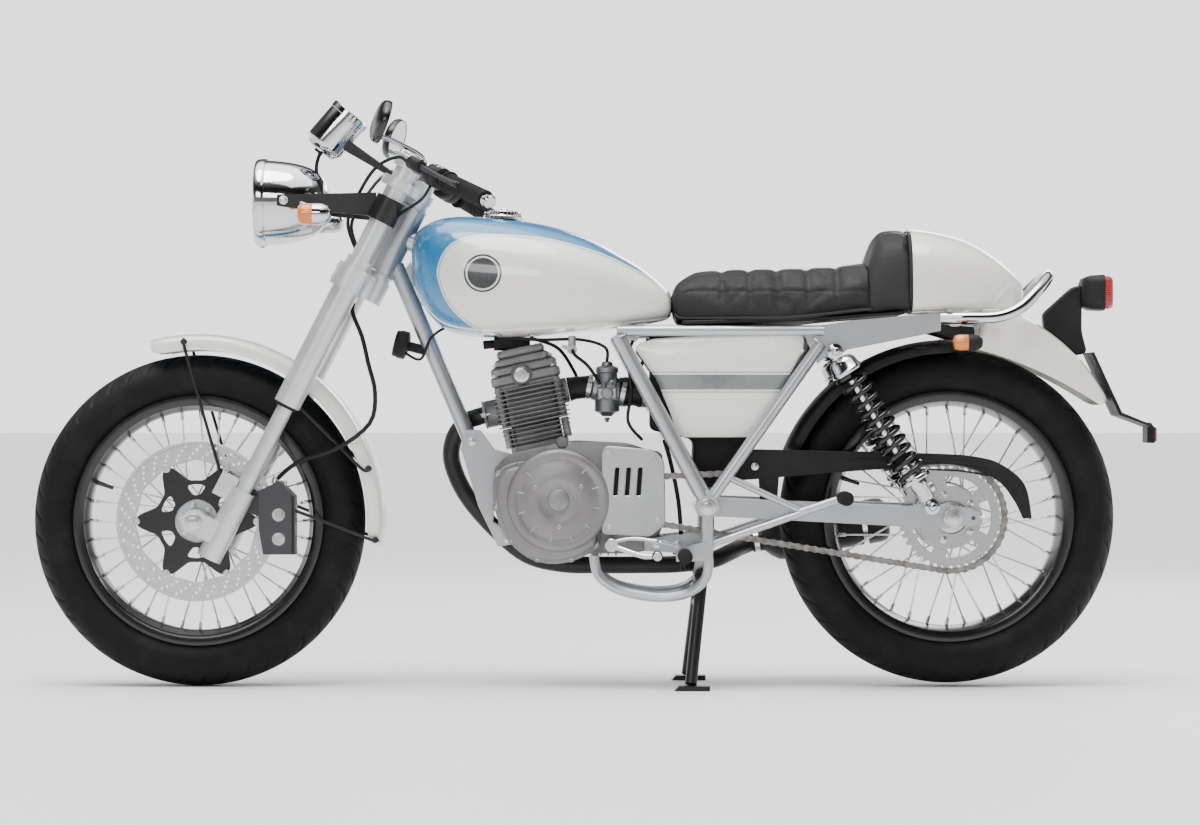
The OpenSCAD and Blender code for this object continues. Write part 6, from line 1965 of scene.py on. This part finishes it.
def headLamp():
    at, r = vec(lampFacts["centre"]), lampFacts["radius"]
    bowl, rim, inside, glass, screws = Shape(), Shape(), Shape(), Shape(), Shape()
    outer = smoothList([[4, -127.6], [24, -126], [46, -116], [62, -96], [72, -66], [77, -30],
        [78, -10]], 6)
    bowl.lathe([tuple(p) for p in outer] + [(76, -10), (74, -30), (69, -66), (59, -93), (44, -112),
        (22, -122), (0.5, -123)], at, (1, 0, 0), 96)
    rim.ring([(78.4, -12), (r - 1, -12), (r, -10.5), (r, -3), (r - 0.6, 2), (r - 2.4, 6),
        (r - 5, 8), (r - 7, 8), (r - 7.4, 6.5), (r - 7.4, 0), (r - 5, -4), (77, -6)], at, (1, 0, 0),
        96)
    dish = [(r - 7.5, -0.5)]
    for k in range(1, 25):
        t = k / 24
        dish.append(((r - 8) * math.sqrt(1 - t) + 9 * t, -2 - 62 * t))
    inside.lathe(dish + [(0, -64)], at, (1, 0, 0), 72)
    inside.lathe([(7, -62), (7, -44), (9, -43), (9, -40), (6, -34), (5.6, -22), (3, -19),
        (0, -18.6)], at, (1, 0, 0), 28)
    lens = [(0, 15.2), (14, 14.8), (r * 0.5, 12.2), (r * 0.78, 7.6), (r - 8.4, 3.6), (r - 7.8, 1.2),
        (r - 9, 0.6), (r * 0.76, 5), (r * 0.48, 9.8), (14, 12.2), (0, 12.6)]
    glass.lathe([(p[0] if p[0] > 0 else 0.01, p[1]) for p in lens], at, (1, 0, 0), 96)
    for k in range(-7, 8):                       # moulded flutes behind the glass
        y = k * 8.6
        half = math.sqrt(max(0, 66 ** 2 - y * y))
        path = []
        for j in range(9):
            z = -half + 2 * half * j / 8
            depth = 11.4 - 8.4 * ((y * y + z * z) / 66 ** 2) ** 1.15
            path.append(at + vec(depth - 1.4, y, z))
        glass.tube(path, 1.3, 6)
    screws.bolt(at + vec(-4, 0, -r - 0.6 + 2), (0, 0, -1), 4, 3)
    for side in (-1, 1):
        screws.lathe([(10, 0), (10, 3), (8, 4.6), (0, 5)], at + vec(-50, side * 82.5, 0),
            (0, side, 0), 32)
        screws.bolt(at + vec(-50, side * 87, 0), (0, side, 0), 6, 5)
    screws.lathe([(9, 0), (9, 2.4), (6, 3.4), (0, 3.6)], at + vec(-6, 0, r - 3.6), (0, 0, 1), 24)
    makePiece("lampBowl", bowl, "brightChrome", "steering", ["headlamp"], sharp=50)
    makePiece("lampRim", rim, "brightChrome", "steering", sharp=50)
    makePiece("lampReflector", inside, "mirrorGlass", "steering", sharp=50)
    makePiece("lampGlass", glass, "lampGlass", "steering", ["headlamp_lens"], sharp=60)
    makePiece("lampScrews", screws, "boltSteel", "steering")


clockFacts = {"centre": (478, 0, 1018), "lean": math.radians(41), "radius": 39.0, "marks": 41,
    "pointer": 216}


def speedClock():
    at, r = vec(clockFacts["centre"]), clockFacts["radius"]
    axis = vec(-math.sin(clockFacts["lean"]), 0, math.cos(clockFacts["lean"]))
    can, ring, dial, marks, stay, glass = Shape(), Shape(), Shape(), Shape(), Shape(), Shape()
    can.lathe([(0, -45.8), (22, -45), (30, -42), (33, -36), (r - 2, -32), (r - 1.2, -28),
        (r - 1.2, 34), (r - 4, 36)], at, axis, 72)
    ring.ring([(r - 1.2, 33), (r, 34), (r, 44), (r - 2.4, 46), (r - 5, 45), (r - 5.4, 40),
        (r - 4, 36)], at, axis, 72)
    dial.lathe([(0, 37.4), (r - 5.2, 37.4), (r - 5, 40)], at, axis, 72)
    glass.lathe([(0, 44.4), (r * 0.5, 43.9), (r - 5.2, 42.6), (r - 5.2, 41.6), (r * 0.5, 42.7),
        (0, 43.2)], at, axis, 64)
    back = vec(0, 1, 0)
    up = axis.cross(back).normalized()
    if up.z < 0:
        up = -up
    for k in range(clockFacts["marks"]):         # plain scale marks and a pointer
        a = math.radians(220 - 260 * k / 40)
        out = math.cos(a) * -back + math.sin(a) * up
        inner = r - (12.5 if k % 4 == 0 else 9.5)
        marks.tube([at + axis * 38.1 + out * inner, at + axis * 38.1 + out * (r - 7)],
            0.65 if k % 4 == 0 else 0.4, 6)
    a = math.radians(clockFacts["pointer"])
    out = math.cos(a) * -back + math.sin(a) * up
    marks.tube([at + axis * 39.4 - out * 7, at + axis * 39.4 + out * (r - 12)], [1.5, 0.5], 8)
    marks.lathe([(4, 38), (4, 40), (3, 40.8), (0, 41)], at, axis, 24)
    outline = [steerPoint(u, 0, s) for u, s in ((21, topClampS + 9.2), (66, topClampS + 9.2),
        (164, topClampS + 14), (158, topClampS + 34), (60, topClampS + 19), (21, topClampS + 19))]
    stay.plate([(p.x, p.z) for p in outline], -18, 36, 2)
    stay.rod(at + axis * -50, at + axis * -40, 9, 28)
    lamps = Shape()
    for y in (-12, 0, 12):                       # small warning lamps on the bracket
        p = steerPoint(60, y, topClampS + 18)
        lamps.lathe([(5, 0), (5, 4), (4, 5.4), (0, 6)], p, steerAxis, 20)
    makePiece("clockCan", can, "brightChrome", "steering", ["speedometer"], sharp=50)
    makePiece("clockRim", ring, "brightChrome", "steering", sharp=50)
    makePiece("clockDial", dial, "darkFace", "steering", sharp=50)
    makePiece("clockMarks", marks, "whiteMark", "steering", sharp=50)
    makePiece("clockGlass", glass, "lampGlass", "steering", sharp=50)
    makePiece("clockStay", stay, "blackEnamel", "steering")
    makePiece("warningLamps", lamps, "boltSteel", "steering")


def caliper():
    c = frontAxle + vec(-150, 0, 6)
    y0 = discY - 18
    body, bolts, dark = Shape(), Shape(), Shape()
    bridge = [(c.x - 32, c.z - 66), (c.x - 24, c.z - 66), (c.x - 24, c.z + 44),
        (c.x - 32, c.z + 40)]
    body.plate(roundedCorners(bridge, 3), y0, 50, 2)
    shoe = roundedCorners([(c.x - 30, c.z - 65), (c.x + 25, c.z - 65), (c.x + 33, c.z - 20),
        (c.x + 33, c.z + 49), (c.x - 4, c.z + 67), (c.x - 30, c.z + 40)], 12)
    body.plate(shoe, y0, 15.6, 3)
    body.plate(shoe, discY + 7.2, 24.4, 5)
    for z in (-38, 6):
        body.boss((c.x - 2, 0, c.z + z), 19, discY + 30, discY + 31.9, 40, 1.2)
        dark.boss((c.x - 2, 0, c.z + z), 12, discY + 31, discY + 32.0, 32, 0.3)
    for x, z in ((c.x - 22, c.z - 58), (c.x - 22, c.z + 30), (c.x + 20, c.z + 44),
            (c.x + 18, c.z - 58)):
        bolts.capBolt((x, discY + 29.2, z), (0, 1, 0), 4.2, 2.6)
    bolts.lathe([(3.4, 0), (3.4, 6), (2.4, 8), (0, 8)], (c.x - 12, discY + 14, c.z + 60),
        (-0.3, 0, 1), 12)
    makePiece("caliperBody", body, "blackEnamel", "steering")
    makePiece("caliperPistons", dark, "boltSteel", "steering")
    makePiece("caliperBolts", bolts, "boltSteel", "steering")


hoseFacts = {"radius": 4}


def brakeHose():
    low = frontAxle + vec(-150, 0, 74)
    points = [steerPoint(12, 60, lowClampS - 23.2), steerPoint(10, 66, lowClampS - 50),
        (424, 78, 640), (412, 82, 590), (400, 82, 538), (410, 82, 482), (470, 80, 436),
        (540, 68, 412), (low.x + 2, 62, low.z + 4), (low.x + 8, 62, low.z - 6.2)]
    route = smoothPath(points, 4)
    piece = makePiece("brakeHose", Shape().tube(route, hoseFacts["radius"], 16), "cableRubber",
        "steering", ["front_cables"], sharp=60)
    ends = Shape()
    for a, b in ((route[0], route[1]), (route[-1], route[-2])):
        ends.lathe([(5.6, 0), (6.6, 1), (6.6, 8), (5.4, 12), (4.3, 14)], a, b - a, 20)
    makePiece("hoseEnds", ends, "boltSteel", "steering")


def controlCables():
    cables = Shape()
    for side in (-1, 1):
        start = onBar(0.32) + vec(44, 0, 20)
        start.y *= side
        cables.tube(smoothPath([start, start + vec(20, -side * 24, 14),
            (start.x + 62, side * 112, 946), (430, side * 76, 900), (452, side * 48, 850),
            (438, side * 38, 800)], 8), 3.2, 12)
    lift = onBar(0.42) + vec(20, -10, -14)
    cables.tube(smoothPath([lift, lift + vec(18, -30, -22), (352, 108, 862), (380, 74, 838),
        (410, 50, 810)], 8), 2.8, 12)
    cables.tube(smoothPath([(478 + 26, 10, 984), (512, 14, 954), (508, 18, 918), (500, 18, 880),
        (500, 12, 846)], 8), 3.4, 12)
    makePiece("controlCables", cables, "cableRubber", "steering", sharp=60)


forkDetails()
bars()
handGear()
mirrors()
headLamp()
speedClock()
caliper()
brakeHose()
controlCables()
print("front end ready")
